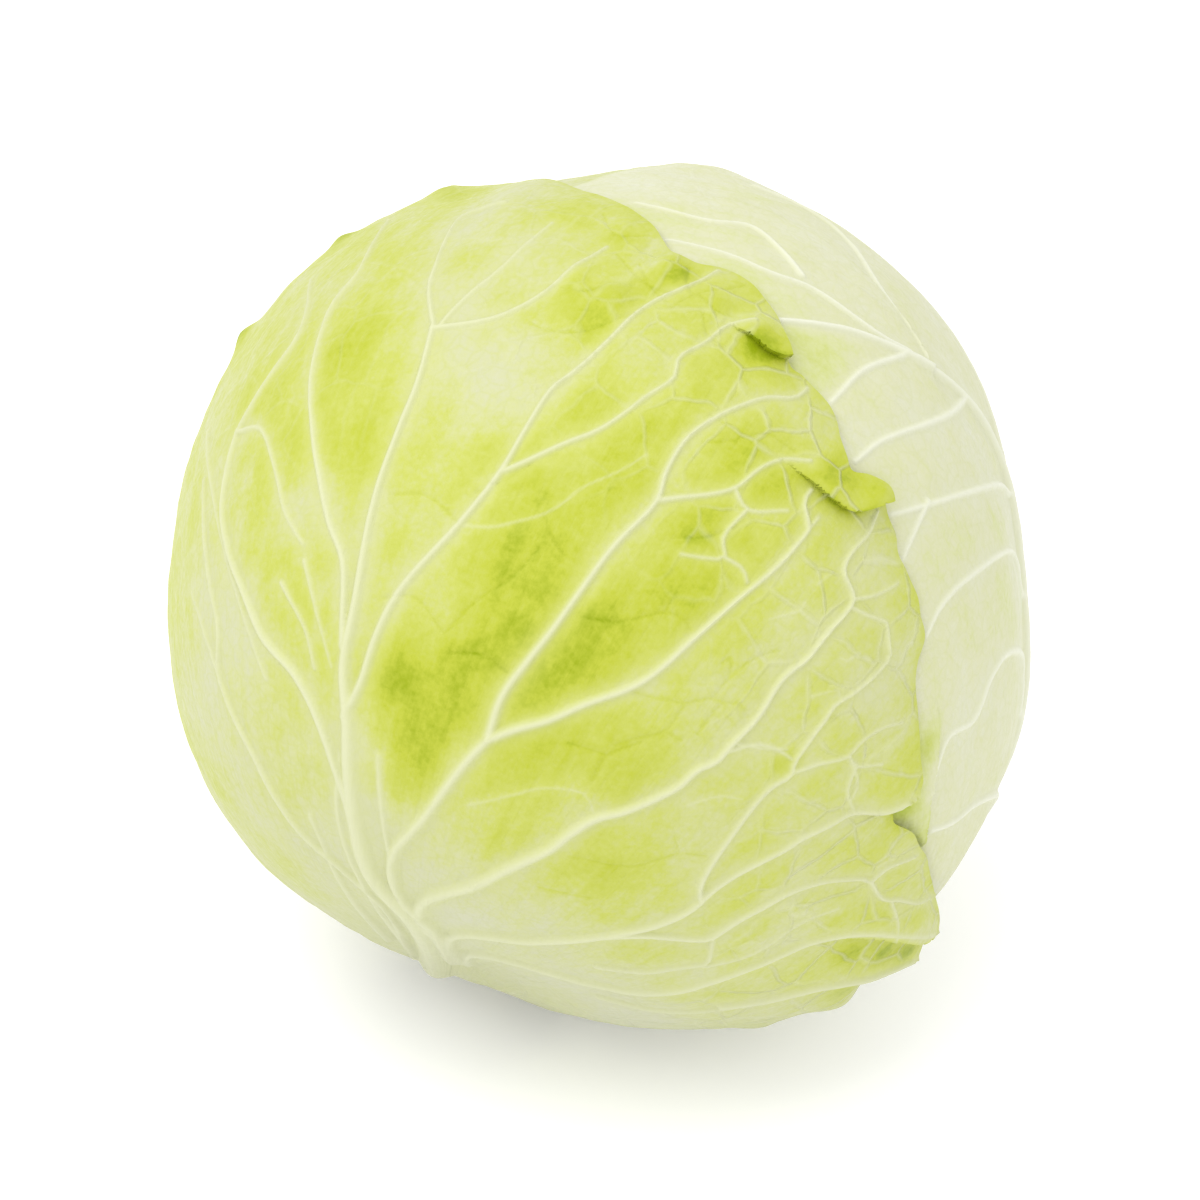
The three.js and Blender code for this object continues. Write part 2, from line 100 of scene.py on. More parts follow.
STEM_AXIS = -np.array([
    math.sin(AXIS_TILT * DEG) * math.cos(AXIS_YAW * DEG),
    math.sin(AXIS_TILT * DEG) * math.sin(AXIS_YAW * DEG),
    math.cos(AXIS_TILT * DEG),
])
FRONT = np.array([0, -math.cos(FRONT_ELEVATION * DEG), math.sin(FRONT_ELEVATION * DEG)])
FRONT_AXIS = unit(FRONT - FRONT.dot(STEM_AXIS) * STEM_AXIS)
SIDE_AXIS = np.cross(FRONT_AXIS, STEM_AXIS)
DOWN = np.array([0.0, 0.0, -1.0])


def head_direction(polar, longitude):
    ring = math.sin(polar * DEG)
    turn = longitude * DEG
    across = math.cos(turn) * FRONT_AXIS + math.sin(turn) * SIDE_AXIS
    return math.cos(polar * DEG) * STEM_AXIS + ring * across


class LeafPlane:
    """Degrees round the middle of a leaf: x to its right, y towards the crown."""

    def __init__(self, polar, longitude):
        self.longitude = longitude
        self.middle = head_direction(polar, longitude)
        self.up = unit(STEM_AXIS.dot(self.middle) * self.middle - STEM_AXIS)
        self.right = np.cross(self.up, self.middle)

    def directions(self, points):
        angle = np.hypot(points[:, 0], points[:, 1]) * DEG
        scale = DEG * np.sinc(angle / math.pi)
        across = (scale * points[:, 0])[:, None] * self.right
        along = (scale * points[:, 1])[:, None] * self.up
        return np.cos(angle)[:, None] * self.middle + across + along

    def positions(self, directions):
        angle = np.arccos(np.clip(directions @ self.middle, -1, 1))
        scale = 1 / (DEG * np.maximum(np.sinc(angle / math.pi), 1e-9))
        return np.stack([scale * (directions @ self.right), scale * (directions @ self.up)], axis=1)


# The head is a ball with a few broad lumps: polar angle, longitude, width in degrees, share of the radius
HEAD_LUMPS = [
    (28, 0, 26, -0.1), (42, 45, 24, 0.03), (62, 74, 18, 0.04), (84, 92, 26, 0.035), (156, -72, 14, -0.03),
    (168, 150, 22, 0.02), (111, 96, 17, -0.03), (76, -87, 18, -0.02), (147, -113, 12, -0.02),
    (120, -102, 13, 0.018), (146, 113, 12, 0.012),
]


def head_radius(directions):
    share = np.ones(len(directions))
    for polar, longitude, width, amount in HEAD_LUMPS:
        angle = np.arccos(np.clip(directions @ head_direction(polar, longitude), -1, 1)) / DEG
        share += amount * np.exp(-((angle / width) ** 2))
    return HEAD_RADIUS * share


# Plane geometry of outlines and veins
def smoothstep(t):
    u = np.clip(t, 0, 1)
    return u * u * (3 - 2 * u)


def even_points(points, step, closed=False):
    """Points at even steps along a smooth curve through the given ones."""
    corners = [np.array(p, float) for p in points]
    if closed:
        ring = [corners[-1], *corners, corners[0], corners[1]]
    else:
        ring = [2 * corners[0] - corners[1], *corners, 2 * corners[-1] - corners[-2]]
    curve = []
    for p0, p1, p2, p3 in zip(ring, ring[1:], ring[2:], ring[3:]):
        t1 = np.linalg.norm(p1 - p0) ** 0.5
        t2 = t1 + np.linalg.norm(p2 - p1) ** 0.5
        t3 = t2 + np.linalg.norm(p3 - p2) ** 0.5
        for t in np.linspace(t1, t2, 16, endpoint=False):
            a = p0 + (p1 - p0) * t / t1
            b = p1 + (p2 - p1) * (t - t1) / (t2 - t1)
            c = p2 + (p3 - p2) * (t - t2) / (t3 - t2)
            d = a + (b - a) * t / t2
            e = b + (c - b) * (t - t1) / (t3 - t1)
            curve.append(d + (e - d) * (t - t1) / (t2 - t1))
    curve.append(corners[0] if closed else corners[-1])
    curve = np.array(curve)
    run = np.concatenate([[0], np.cumsum(np.linalg.norm(np.diff(curve, axis=0), axis=1))])
    count = max(2, round(run[-1] / step))
    places = np.linspace(0, run[-1], count + 1)
    even = np.stack([np.interp(places, run, curve[:, axis]) for axis in (0, 1)], axis=1)
    return even[:-1] if closed else even


def line_distance(points, line, reach=math.inf):
    """Distance from points to a line, how far along it they are, 0 to 1, and their side, 1 on its left.

    Further than reach is infinite.
    """
    distance = np.full(len(points), math.inf)
    along = np.zeros(len(points))
    side = np.ones(len(points))
    low, high = line.min(axis=0) - reach, line.max(axis=0) + reach
    near = np.nonzero(np.all((points >= low) & (points <= high), axis=1))[0]
    close = points[near]
    best, best_along, best_side = distance[near], along[near], side[near]
    for i, (start, end) in enumerate(zip(line[:-1], line[1:])):
        step = end - start
        t = np.clip((close - start) @ step / max(step @ step, 1e-12), 0, 1)
        gap = np.hypot(close[:, 0] - start[0] - t * step[0], close[:, 1] - start[1] - t * step[1])
        nearer = gap < best
        best[nearer] = gap[nearer]
        best_along[nearer] = (i + t[nearer]) / (len(line) - 1)
        turn = step[0] * (close[nearer, 1] - start[1]) - step[1] * (close[nearer, 0] - start[0])
        best_side[nearer] = np.where(turn < 0, -1, 1)
    distance[near], along[near], side[near] = best, best_along, best_side
    return distance, along, side


def inside_outline(points, outline):
    inside = np.zeros(len(points), bool)
    x, y = points[:, 0], points[:, 1]
    for (ax, ay), (bx, by) in zip(outline, np.roll(outline, -1, axis=0)):
        if ay == by:
            continue
        crosses = ((ay > y) != (by > y)) & (x < (bx - ax) * (y - ay) / (by - ay) + ax)
        inside ^= crosses
    return inside


def margin_depth(points, outline):
    """Distance to the outline, positive inside the leaf."""
    distance, _, _ = line_distance(points, np.vstack([outline, outline[:1]]))
    return np.where(inside_outline(points, outline), distance, -distance)


# Profile of a vein: reaches as shares of its half-width, and how the crest and its glow fall off
RIDGE_REACH = 1.35
SHOULDER_REACH = 2.6
SHOULDER_SHARE = 0.3
GLOW_SHARE = 2
GLOW_REACH = 0.7
GROOVE_DEPTH = 0.0002

# Foot width, tip width, foot height and tip height in millimetres
CROSS_VEIN_SIZE = (0.8, 0.6, 0.18, 0.12)
GROOVE_SIZE = (0.65, 0.65, 0.3, 0.3)
LATERAL_SIZE = (2.6, 1.3, 0.9, 0.4)
MIDRIB_SIZE = (6.5, 1.7, 1.8, 0.6)


class Vein:
    """A rib that stands out of the leaf, from widths and heights in millimetres at its foot and its tip."""

    def __init__(self, foot_width, tip_width, foot_height, tip_height, points):
        self.width = (foot_width * MM / DEGREE_LENGTH / 2, tip_width * MM / DEGREE_LENGTH / 2)
        self.height = (foot_height * MM, tip_height * MM)
        self.line = even_points(points, 1.2)

    def reading(self, points, reach=HALO_REACH):
        """Distance in degrees, half-width, and height of the crest, beside each point."""
        distance, along, _ = line_distance(points, self.line, reach)
        swell = (1 - along) ** 2
        width = self.width[1] + (self.width[0] - self.width[1]) * swell
        return distance, width, self.height[1] + (self.height[0] - self.height[1]) * (1 - along)


# A fold has its full height after a share of its line. Its overhang and shadow fade, in degrees
FOLD_GROWTH = 0.6
OVERHANG_FADE = 1.2
SHADOW_ABOVE, SHADOW_BELOW = 0.3, 0.9
BANK_WIDTH = 0.09
FAR = 50


class Fold:
    """A pleat: the leaf steps up on one side of a line, more towards its end, and overhangs the other."""

    def __init__(self, height, width, overhang, points, side=1):
        self.height = height * MM
        self.width = width
        self.overhang = overhang
        self.line = even_points(points, 0.6)
        self.side = side

    def reading(self, points):
        """Rise in metres, slide in degrees and shadow beside each point."""
        distance, along, side = line_distance(points, self.line, 3 * self.width)
        grow = smoothstep(along / FOLD_GROWTH)
        high = side * self.side > 0
        fade = np.exp(-((distance / self.width) ** 2))
        rise = np.where(high, self.height * grow * fade, 0)
        reach = np.minimum(distance, FAR)
        slide = np.where(high, self.overhang * grow * np.exp(-reach / OVERHANG_FADE), 0)
        shadow = grow * np.exp(-((reach / np.where(high, SHADOW_ABOVE, SHADOW_BELOW)) ** 2))
        steps = np.gradient(self.line, axis=0)
        nearest = np.clip((along * (len(self.line) - 1)).astype(int), 0, len(self.line) - 1)
        steps = steps[nearest] / np.linalg.norm(steps[nearest], axis=1)[:, None]
        across = self.side * np.stack([-steps[:, 1], steps[:, 0]], axis=1)
        return rise, -slide[:, None] * across, shadow

    def banks(self):
        """Points close to the line on both sides, which keep the step sharp."""
        steps = np.gradient(self.line, axis=0)
        steps /= np.linalg.norm(steps, axis=1)[:, None]
        across = BANK_WIDTH * np.stack([-steps[:, 1], steps[:, 0]], axis=1)
        return np.vstack([self.line + across, self.line - across])


# The front leaf: its margin, and its veins with their four sizes, as they branch from the stem
FRONT_MARGIN = [
    (26, -78), (42, -69), (56, -60), (68, -50), (75, -43), (78, -38.5), (81, -34), (80.5, -28), (78.5, -22),
    (76, -16.5), (72.5, -11), (70, -8), (67.5, -5), (63.5, -2.2), (64.5, 0.8), (65.2, 4.5), (64, 9),
    (63, 12.5), (61.8, 16), (60.3, 20), (59.6, 23.5), (59.4, 27.4), (57.6, 30.3), (56, 33), (53.8, 35.3),
    (52.6, 36.6), (50.9, 38.4), (49.5, 41), (47.5, 43), (45.8, 45), (44.6, 46.6), (42, 47.6), (39.4, 47.4),
    (38.2, 49.3), (36.6, 51.6), (35.1, 54.2), (33.2, 56.3), (30.3, 57.9), (27.8, 58.9), (25.6, 59.4),
    (23.6, 61.9), (20.6, 65.9), (17.4, 68.3), (14.2, 70.1), (11.3, 71), (8.5, 71), (5.6, 70.2), (2.7, 70),
    (0.3, 70), (-2.4, 71.8), (-5.8, 74), (-10, 75.4), (-15, 76.6), (-22, 77.6), (-30, 78.5), (-38, 78),
    (-50, 75), (-55, 71.5), (-58.5, 70), (-60, 66), (-64, 60), (-66, 54), (-68.5, 50), (-69.5, 45),
    (-71.5, 38), (-72, 31), (-74, 27), (-74, 20), (-75.5, 12), (-75, -5), (-71, -22), (-62, -38), (-50, -54),
    (-36, -68), (-25, -77),
]
FRONT_MAIN_VEINS = [
    (9.5, 1.5, 3.0, 1.0, [(0, -68), (1, -52), (0, -40), (-5, -31), (-7.5, -22), (-9.5, -14), (-11.5, -6.5),
     (-14, 0), (-15.3, 8), (-18.7, 21), (-20.2, 30), (-21.5, 37), (-24.3, 44)]),
    (2.2, 1.1, 1.4, 0.7, [(-12, -6.5), (-11, -1), (-11, 5), (-10.2, 11.7), (-6, 23.4), (-4.2, 31),
     (-3.9, 36.6), (-3.4, 43.3), (-2.2, 45.7), (0.1, 52), (2.1, 59), (4.3, 62.5), (6, 65), (8.5, 70)]),
    (5.2, 2.1, 2.0, 1.4, [(4, -60), (3.7, -42), (-0.4, -34.8), (-2, -28), (-1.3, -22.5), (0.2, -19),
     (1.9, -15), (3.2, -11), (5.3, -4.8), (7, -1)]),
    (2.2, 1.1, 1.4, 0.7, [(7, -1), (7, 5), (8.4, 10), (10, 15), (11.3, 20), (13.2, 27.3), (16, 34.7),
     (15.6, 38.5), (16.2, 43.4), (18.3, 47.1), (21, 50.3), (24, 53), (27.8, 54.8), (29.2, 57.4)]),
    (2.2, 1.1, 1.4, 0.7, [(7, -1), (9.6, 1.4), (13.4, 4.2), (16.6, 7.3), (22.7, 12.5), (27.3, 20.2),
     (30, 25), (34, 31.6), (35.5, 35.3), (36.2, 37.5), (35.6, 38.8), (34.3, 41), (34.7, 42.8)]),
    (5.0, 1.1, 1.9, 0.8, [(4.4, -60), (3.4, -46), (1.8, -38), (3.2, -32), (6, -28.2), (10, -23.9),
     (13.4, -19.2), (15.5, -16.7), (18.4, -13.3), (20.2, -10.2), (22.8, -6.9), (25.5, -5.2), (29.5, -1.8),
     (31.5, 0.3), (33, 3), (35, 4.6), (36.2, 7.3), (37.8, 10.3), (38.7, 12.6), (39.2, 15), (39.8, 17.2),
     (40.8, 19), (42, 20.6), (43, 23.2), (43.9, 25.5), (44.9, 27.5), (45.7, 30.2), (43, 33.6), (43.2, 36),
     (44.3, 38.3), (45, 39.7), (45.2, 43)]),
    (4.6, 1.1, 1.6, 0.8, [(5.6, -60), (5.2, -50), (6.6, -43), (9.6, -38.8), (13.4, -36.2), (17.8, -34),
     (23, -30.6), (26.8, -28.2), (30, -26), (33.7, -23.7), (36.3, -21.5), (38.5, -19), (40.5, -15),
     (42.8, -12), (45.3, -9.6), (48, -7), (50, -4.8), (53.3, -2.4), (56, -0.5), (60, 0.2), (63, 1.5),
     (65.5, 3.2)]),
    (4.0, 1.1, 1.4, 0.7, [(7, -60), (8.5, -52), (13, -46.5), (20, -43.6), (28, -42.5), (35, -41), (40, -38),
     (44.5, -33.8), (47.8, -31), (50.8, -29), (53.7, -27), (56.3, -25), (59, -23.8), (62, -23.1),
     (66, -23.2), (70.5, -24.6), (75, -27), (81, -31)]),
    (2.2, 1.0, 1.1, 0.7, [(-15, 2), (-15.8, 4), (-19.4, 11.8), (-23.3, 15), (-28.7, 20.5), (-33.3, 24.8),
     (-37.7, 28.9), (-41.6, 33.9), (-45.6, 40.8), (-46.2, 46.2), (-51.3, 52.3), (-56.3, 57.1)]),
    (2.7, 1.0, 1.4, 0.7, [(-8.5, -20), (-11, -15.5), (-15.3, -9.5), (-20.5, -5.2), (-27, -3), (-31.7, 0.1),
     (-38.3, 3.6), (-43.4, 7.5), (-46.1, 12), (-48.2, 17.4), (-48.2, 21), (-48, 27.7), (-47.7, 32.8),
     (-50.7, 37), (-58.9, 41.4)]),
    (2.9, 1.0, 1.4, 0.7, [(-4, -66), (-5, -40), (-10, -34), (-16.5, -29.5), (-22.6, -23), (-25, -20.2),
     (-31.5, -15), (-34, -12.5), (-36, -6.5), (-39.5, -3.3), (-52, 8)]),
]
# Broad ribs that run into the stem beside the veins
FRONT_FLUTES = [
    (4.0, 1.4, 1.4, 0.4, [(-4, -60), (-5, -50), (-6.5, -38), (-8.5, -30), (-10.5, -22), (-11.5, -12)]),
    (4.0, 1.4, 1.6, 0.4, [(-7, -58), (-9, -48), (-11, -38), (-13, -30), (-15, -25)]),
    (3.6, 1.4, 1.8, 0.4, [(4, -58), (3.7, -42), (-0.4, -34.8), (-1.9, -26.5), (-4, -18), (-6.1, -9.5)]),
]
FRONT_BRANCHES = [
    (1.3, 0.9, 0.7, 0.4, [(-59.5, 12.8), (-46.3, 7.4), (-38.1, 2.5), (-31, -2.5), (-24.9, -8)]),
    (1.2, 0.8, 0.6, 0.3, [(-24.8, 9.2), (-19.8, 3.4), (-15.8, -1.2)]),
    (1.1, 0.8, 0.5, 0.3, [(42.7, -30.5), (49.7, -26), (54.2, -20.3), (59.2, -18)]),
    (1.1, 0.8, 0.5, 0.3, [(36.7, 7.6), (40.2, 7.6), (43.6, 8.1)]),
    (1.1, 0.8, 0.5, 0.3, [(52.9, 7.9), (55.2, 4.2), (55.1, 1.7)]),
    (2.0, 1.4, 1.3, 1.0, [(47, -41), (55, -38.5), (61, -36), (67, -35.6), (73, -36.6), (80, -38)]),
    (1.4, 1.0, 0.9, 0.6, [(-4.1, 30.7), (-2.2, 32.6), (1.7, 37), (5.2, 40.6), (8.7, 46.7), (11, 50.5),
     (10.3, 53.4), (12.6, 57.2), (14.3, 61.3), (17.5, 63.4)]),
    (1.4, 1.0, 0.9, 0.6, [(16, 34.7), (18.5, 36), (24.8, 39.6), (26.8, 43), (29.3, 45.4), (33, 46.5)]),
    (1.1, 0.9, 0.7, 0.4, [(24.8, 39.6), (27.4, 37.5), (32.5, 39)]),
    (1.1, 0.9, 0.7, 0.4, [(27.4, 37.5), (25.9, 33), (27, 30.7), (24.4, 29.8), (21.6, 29.3)]),
    (1.0, 0.9, 0.6, 0.4, [(27, 30.7), (29.8, 30), (31, 28.5)]),
    (1.0, 0.9, 0.6, 0.4, [(36.2, 37.5), (37, 39.5)]),
    (1.5, 1.0, 1.0, 0.6, [(39.3, -17.5), (38.6, -15), (38.8, -12), (40, -7), (42, -0.5), (43.5, 2.5),
     (45.3, 4.5), (45.2, 6.5), (46, 9.3), (47.2, 13), (48, 15.5), (50, 17.4), (52, 19.8), (53.2, 21.7),
     (54, 23.5), (53.2, 25.2), (52.5, 26.7), (51.9, 28), (48.3, 28.5), (45.9, 29)]),
    (1.3, 0.9, 0.7, 0.4, [(45.8, 5.2), (49, 7), (52.2, 8.3), (53.7, 10.8), (56.8, 13.2), (59.5, 14)]),
    (1.0, 0.9, 0.6, 0.4, [(52.3, 8.5), (54, 7), (58, 7.5)]),
    (1.0, 0.9, 0.6, 0.4, [(54, 7), (54, 3), (56, 0)]),
    (1.9, 1.1, 1.2, 0.8, [(28.5, -27), (33.5, -25.5), (39, -25), (42, -24.3), (43.7, -22), (45.8, -19.3),
     (48, -17), (50, -15), (52.3, -13.5), (55.8, -12.5), (59.3, -12.5), (62, -12.8), (63.3, -13.5),
     (65.5, -11), (69.8, -9.6)]),
    (1.5, 1.0, 1.0, 0.6, [(28.5, -35.5), (35, -34.5), (39, -32), (41.3, -30.7), (42.8, -29.8),
     (42.6, -24.5)]),
    (1.4, 1.0, 0.9, 0.6, [(63.3, -13.5), (66.5, -17.5), (68, -18), (69.7, -18.5), (74, -20.5), (78, -21)]),
    (1.0, 0.9, 0.7, 0.4, [(68, -18), (69.5, -21.5), (70.3, -25.5)]),
    (1.4, 1.0, 0.9, 0.6, [(30, -47), (38, -45.5), (45, -43), (52, -40), (57, -37.5)]),
    (1.1, 0.9, 0.7, 0.4, [(45.7, 30.2), (48.3, 31.2), (50.2, 32.5), (52, 34)]),
    (1.3, 0.9, 0.7, 0.4, [(35.5, 6), (39.5, 8), (42.5, 7.8), (44.8, 6.8)]),
    (1.4, 1.0, 0.9, 0.4, [(-48.2, 17.4), (-42.9, 20.1), (-36.1, 17.3), (-30.6, 13.2), (-26, 11)]),
    (1.4, 0.9, 0.7, 0.4, [(-34, -12.5), (-41, -8), (-45, -6.5)]),
    (1.1, 0.9, 0.7, 0.4, [(-27, 5), (-21.2, 1.2), (-18.2, -2.8)]),
    (1.5, 1.0, 1.0, 0.6, [(-24.3, 43.5), (-16.8, 49), (-12.5, 55.7), (-10.4, 61.4), (-9, 66)]),
    (1.3, 0.9, 0.7, 0.4, [(-23.5, 44.5), (-22.7, 50), (-20.8, 57.4), (-20, 66.4)]),
    (1.4, 1.0, 0.9, 0.6, [(-24.3, 44), (-29.8, 49), (-31.7, 52), (-35.7, 58.5), (-37.3, 63), (-31, 67)]),
]
# Pleats of the margin: height in millimetres, width and overhang in degrees
FRONT_FOLDS = [
    Fold(2.4, 4.5, 1.0, [(13.4, 62.2), (15.5, 61.4), (17.6, 60.8), (19.6, 60.3), (21.6, 59.9), (23.4, 60.2),
         (25.4, 61.6)]),
    Fold(2.6, 4, 0.9, [(28.5, 45.3), (30.5, 45.1), (32.2, 44.5), (34.2, 44), (36.5, 43), (38.5, 42.4),
         (41, 42), (43.2, 43.2), (45.6, 45)]),
    Fold(2.2, 5, 0.7, [(55, -1.6), (58.8, -0.4), (62, 0.5), (64, 1.2), (66, 2.6), (68.2, 5)]),
    Fold(1.8, 5, 0.6, [(61, -1.2), (63.4, -1.4), (66.4, -3.4), (69, -5.4), (72.5, -9.6)], side=-1),
    Fold(3.0, 5, 1.0, [(53, -28), (57, -25.4), (61, -24), (66.6, -24.3), (71.7, -26.4), (77, -30),
         (83, -34)]),
    Fold(2.2, 3.5, 0.7, [(55, -39.5), (61, -37), (67, -36.6), (73, -37.6), (80, -39)]),
]
# Lumps and dents of the lamina: place and width in degrees, height in millimetres
FRONT_SWELLS = [
    (80, -27, 14, 0.8), (64, -48, 14, 2.6), (-73, 26, 2.6, 1.7), (-68.5, 50, 3, 1.5), (-58, 70, 6, 2.0),
    (-3.4, 53.7, 2.6, -0.7), (-3.2, 58.1, 2.4, 0.9), (1.1, 59.2, 2.4, -0.6), (-9.6, 71.7, 2.2, 0.8),
    (-3.2, 69.1, 2.2, -0.6), (1.6, 67.6, 2.2, 0.9), (6.5, 67.4, 2, -0.5), (11.3, 64.6, 2.4, 0.8),
    (-10.3, 59.7, 2.6, 0.8), (-19, 63.6, 3, -0.6), (-31.1, 66.8, 3.4, 0.8), (17.5, 61.8, 2, 0.7),
    (-34, 72, 5, 1.0), (44.2, 45.2, 2.2, 1.6), (79, -38, 3.5, 1.6), (73, -43, 3.5, -1.4),
    (68, -48, 3.5, 1.5), (62, -53, 3.5, -1.2), (56, -57, 3.5, 1.3), (-67, 51, 5, -0.8),
]
# Small veins between the others
FRONT_CROSS_VEINS = [
    [(-6, 22.5), (-1.9, 24), (0, 25.3), (3.5, 28), (5, 30), (6.3, 32.5), (10, 36.5), (12.3, 39.8)],
    [(6.9, -10.8), (12.3, -6.9), (15, -5), (20.2, -3.9), (21.6, -5.2), (22.4, -6.8)],
    [(39, 26.8), (35.5, 24.7)],
    [(39, 26.8), (41.3, 25.7)],
    [(39, 26.8), (39.3, 28)],
    [(33.3, -2.2), (37.2, 0), (40, 0)],
    [(47.5, 21.7), (46.3, 22)],
    [(47.5, 21.7), (49, 23.2)],
    [(44.5, 16), (47.8, 17.5), (48.3, 16.5)],
    [(40, 30.8), (41.5, 33)],
]
# Wrinkles pressed into the lamina
FRONT_GROOVES = [
    [(-14.5, 72.3), (-9.2, 68.9), (-5.8, 70.8), (-2.7, 73.2)],
    [(-7, 65.8), (-2.8, 63.6), (2.8, 62.3), (5.6, 63.8)],
    [(-10.7, 56.9), (-6.5, 57.7), (-4.4, 60.3), (-1.4, 61.4)],
    [(5.6, 60.3), (7.4, 63.7), (11.5, 67.1), (13.9, 69.9)],
    [(8.2, 64.1), (11.8, 62.6), (15.1, 63.1)],
    [(-11.7, 50.3), (-6.7, 51), (-2.8, 53.3), (1.1, 57.1)],
    [(-2.6, 65.3), (0.8, 62.5), (4.6, 61)],
    [(4.3, 68.4), (5.4, 65.6), (7.4, 63.7)],
    [(-2.6, 9.4), (0, 15.2), (2.7, 18.9), (4.6, 23.8)],
    [(-1, 7.5), (0.8, 8.3), (3.2, 9), (6.6, 8)],
    [(13, 17.8), (17, 18.6), (20, 20.3), (22.4, 21.7), (25.2, 21.5), (26.2, 20.5)],
    [(22.4, 21.7), (22.5, 23.2)],
    [(20.9, -1.8), (21.6, 2), (25.1, 4.9)],
    [(16.5, 2), (21.6, 2)],
    [(18, -20.5), (25, -20)],
    [(20.9, -13.7), (29.3, -13), (32.5, -10.9), (34.3, -9.8), (38, -9.6)],
    [(34.3, -9.8), (33, -7)],
    [(-17, 22), (-12, 24), (-6, 22.5)],
    [(-12, 10), (-8, 12), (-2.6, 9.4)],
    [(8, 24), (5, 26), (3.5, 28)],
    [(22, 11), (24.8, 11), (28.8, 11.3), (32, 12.9), (33.5, 12.5), (35.5, 13), (37.2, 11.5)],
    [(32, 12.9), (33, 15.8), (34.6, 18.3), (37.3, 20.6), (38.5, 21.2)],
    [(33, 16.5), (32.5, 18.6), (31.5, 17.6)],
    [(28.8, 11.3), (27.5, 7.2), (24.5, 5.3), (22, 3.5)],
    [(27.5, 7.2), (29.8, 6.4)],
    [(33, 12), (31.5, 7.8)],
    [(18, 47.5), (21, 47.2), (23.8, 46.8), (26, 48), (30.7, 47.2)],
    [(23.8, 46.8), (21, 44.8), (18.5, 44)],
    [(10, 61.5), (12.5, 58.5), (15.5, 58)],
    [(-1, 33), (-4, 29), (-6, 27)],
    [(20, 31), (24, 32.5), (27, 35)],
]

# Where the front leaf is greener or paler than elsewhere: place and width in degrees, and amount
FRONT_PATCHES = [
    (-33, 9.1, 7, 0.16), (-23.7, 2.7, 7, 0.14), (-18.1, -7.1, 6, 0.1), (2.4, -6.3, 5, 0.08),
    (-1, -14.5, 4, 0.16), (13.1, -11.6, 6, 0.16), (23.8, -12.3, 7, 0.12), (14.7, 1, 7, 0.16),
    (29, -15.6, 7, 0.1), (5.6, 1.6, 6, 0.14), (-21.8, 10.6, 5, 0.14), (-48.9, 22.1, 6, 0.1),
    (23, 10.4, 7, 0.1), (-3.4, 53.7, 3.6, 0.32), (-9.8, 54.1, 5, 0.16), (0.2, 60.7, 4, 0.16),
    (-8.8, 68.6, 3, 0.22), (4.3, 66.1, 3, 0.2), (-48.6, 67.8, 4, 0.3), (-23.1, 71.6, 6, 0.1),
    (19.5, 59, 3, 0.3), (24.5, 43.3, 4, 0.14), (22, 33.9, 5, 0.14), (3.2, 21.5, 6, 0.1), (12.9, 36, 7, 0.12),
    (-21.4, 49.2, 5, -0.16), (-10, 40.8, 7, -0.14), (7.1, 48.2, 5, -0.08), (44.7, 35.6, 6, -0.14),
    (39.9, 23.1, 5, -0.12), (-27.3, 13.6, 6, -0.1), (-41.4, 21.9, 6, 0.14), (-36.8, 33.2, 5, 0.16),
    (-28.7, -4.2, 8, -0.1), (-6.8, 1.5, 4.6, 0.26), (-6, 2, 8, 0.2), (-1, -4.5, 3.4, 0.14),
    (-8, 67, 3, 0.16), (4, 66, 3, 0.18), (13, 66, 4, 0.12), (-17, 68, 5, 0.12), (-73, 26, 2.5, 0.5),
    (-68, 50, 4, 0.4), (-57, 69, 4, 0.3), (-6.5, -19, 4, -0.34), (-9, -10, 3.4, -0.25), (-4, -31, 5, -0.3),
    (0, -6, 6, 0.2), (-4, -12, 5, 0.1), (1, 8, 7, 0.12), (11, 3, 6, 0.16), (13, 14, 8, 0.3),
    (22, 24, 9, 0.28), (8, 62, 9, 0.06), (-3, 60, 8, 0.12), (-23, 28, 8, 0.1), (-31, 29, 9, 0.14),
    (-34, 38, 8, 0.14), (16, 49, 9, 0.2), (1, 36, 10, 0.26), (31, 40, 9, 0.16), (1, 24, 9, 0.18),
    (6, 8, 7, 0.12), (-13, 42, 8, -0.25), (-38, -4, 16, -0.12), (-30, -22, 16, -0.15), (50, 16, 13, -0.06),
    (60, -4, 10, 0.04), (4, -38, 16, -0.46), (34, -50, 15, -0.4), (-30, 66, 14, -0.16), (44, 6, 2.2, 0.45),
    # The patches from here on lie in the hollows beside the folds: a deeper green there, partly the leaf's
    # own and partly painted shade
    (65.8, -1.2, 2.4, 0.7), (68, 1.5, 2, 0.5), (71, -31.5, 3, 0.5), (64, -29, 3, 0.42),
    (76, -34.5, 2.6, 0.42), (66, -41, 3, 0.4), (74, -41.5, 3, 0.5), (47, -38, 4, 0.3), (38, 46.5, 3.4, 0.4),
    (43, 45, 2.4, 0.3), (21, 61, 3, 0.35), (74, -38, 3, 0.3), (40, -38, 3, 0.22),
]
FRONT_GREEN = 0.44

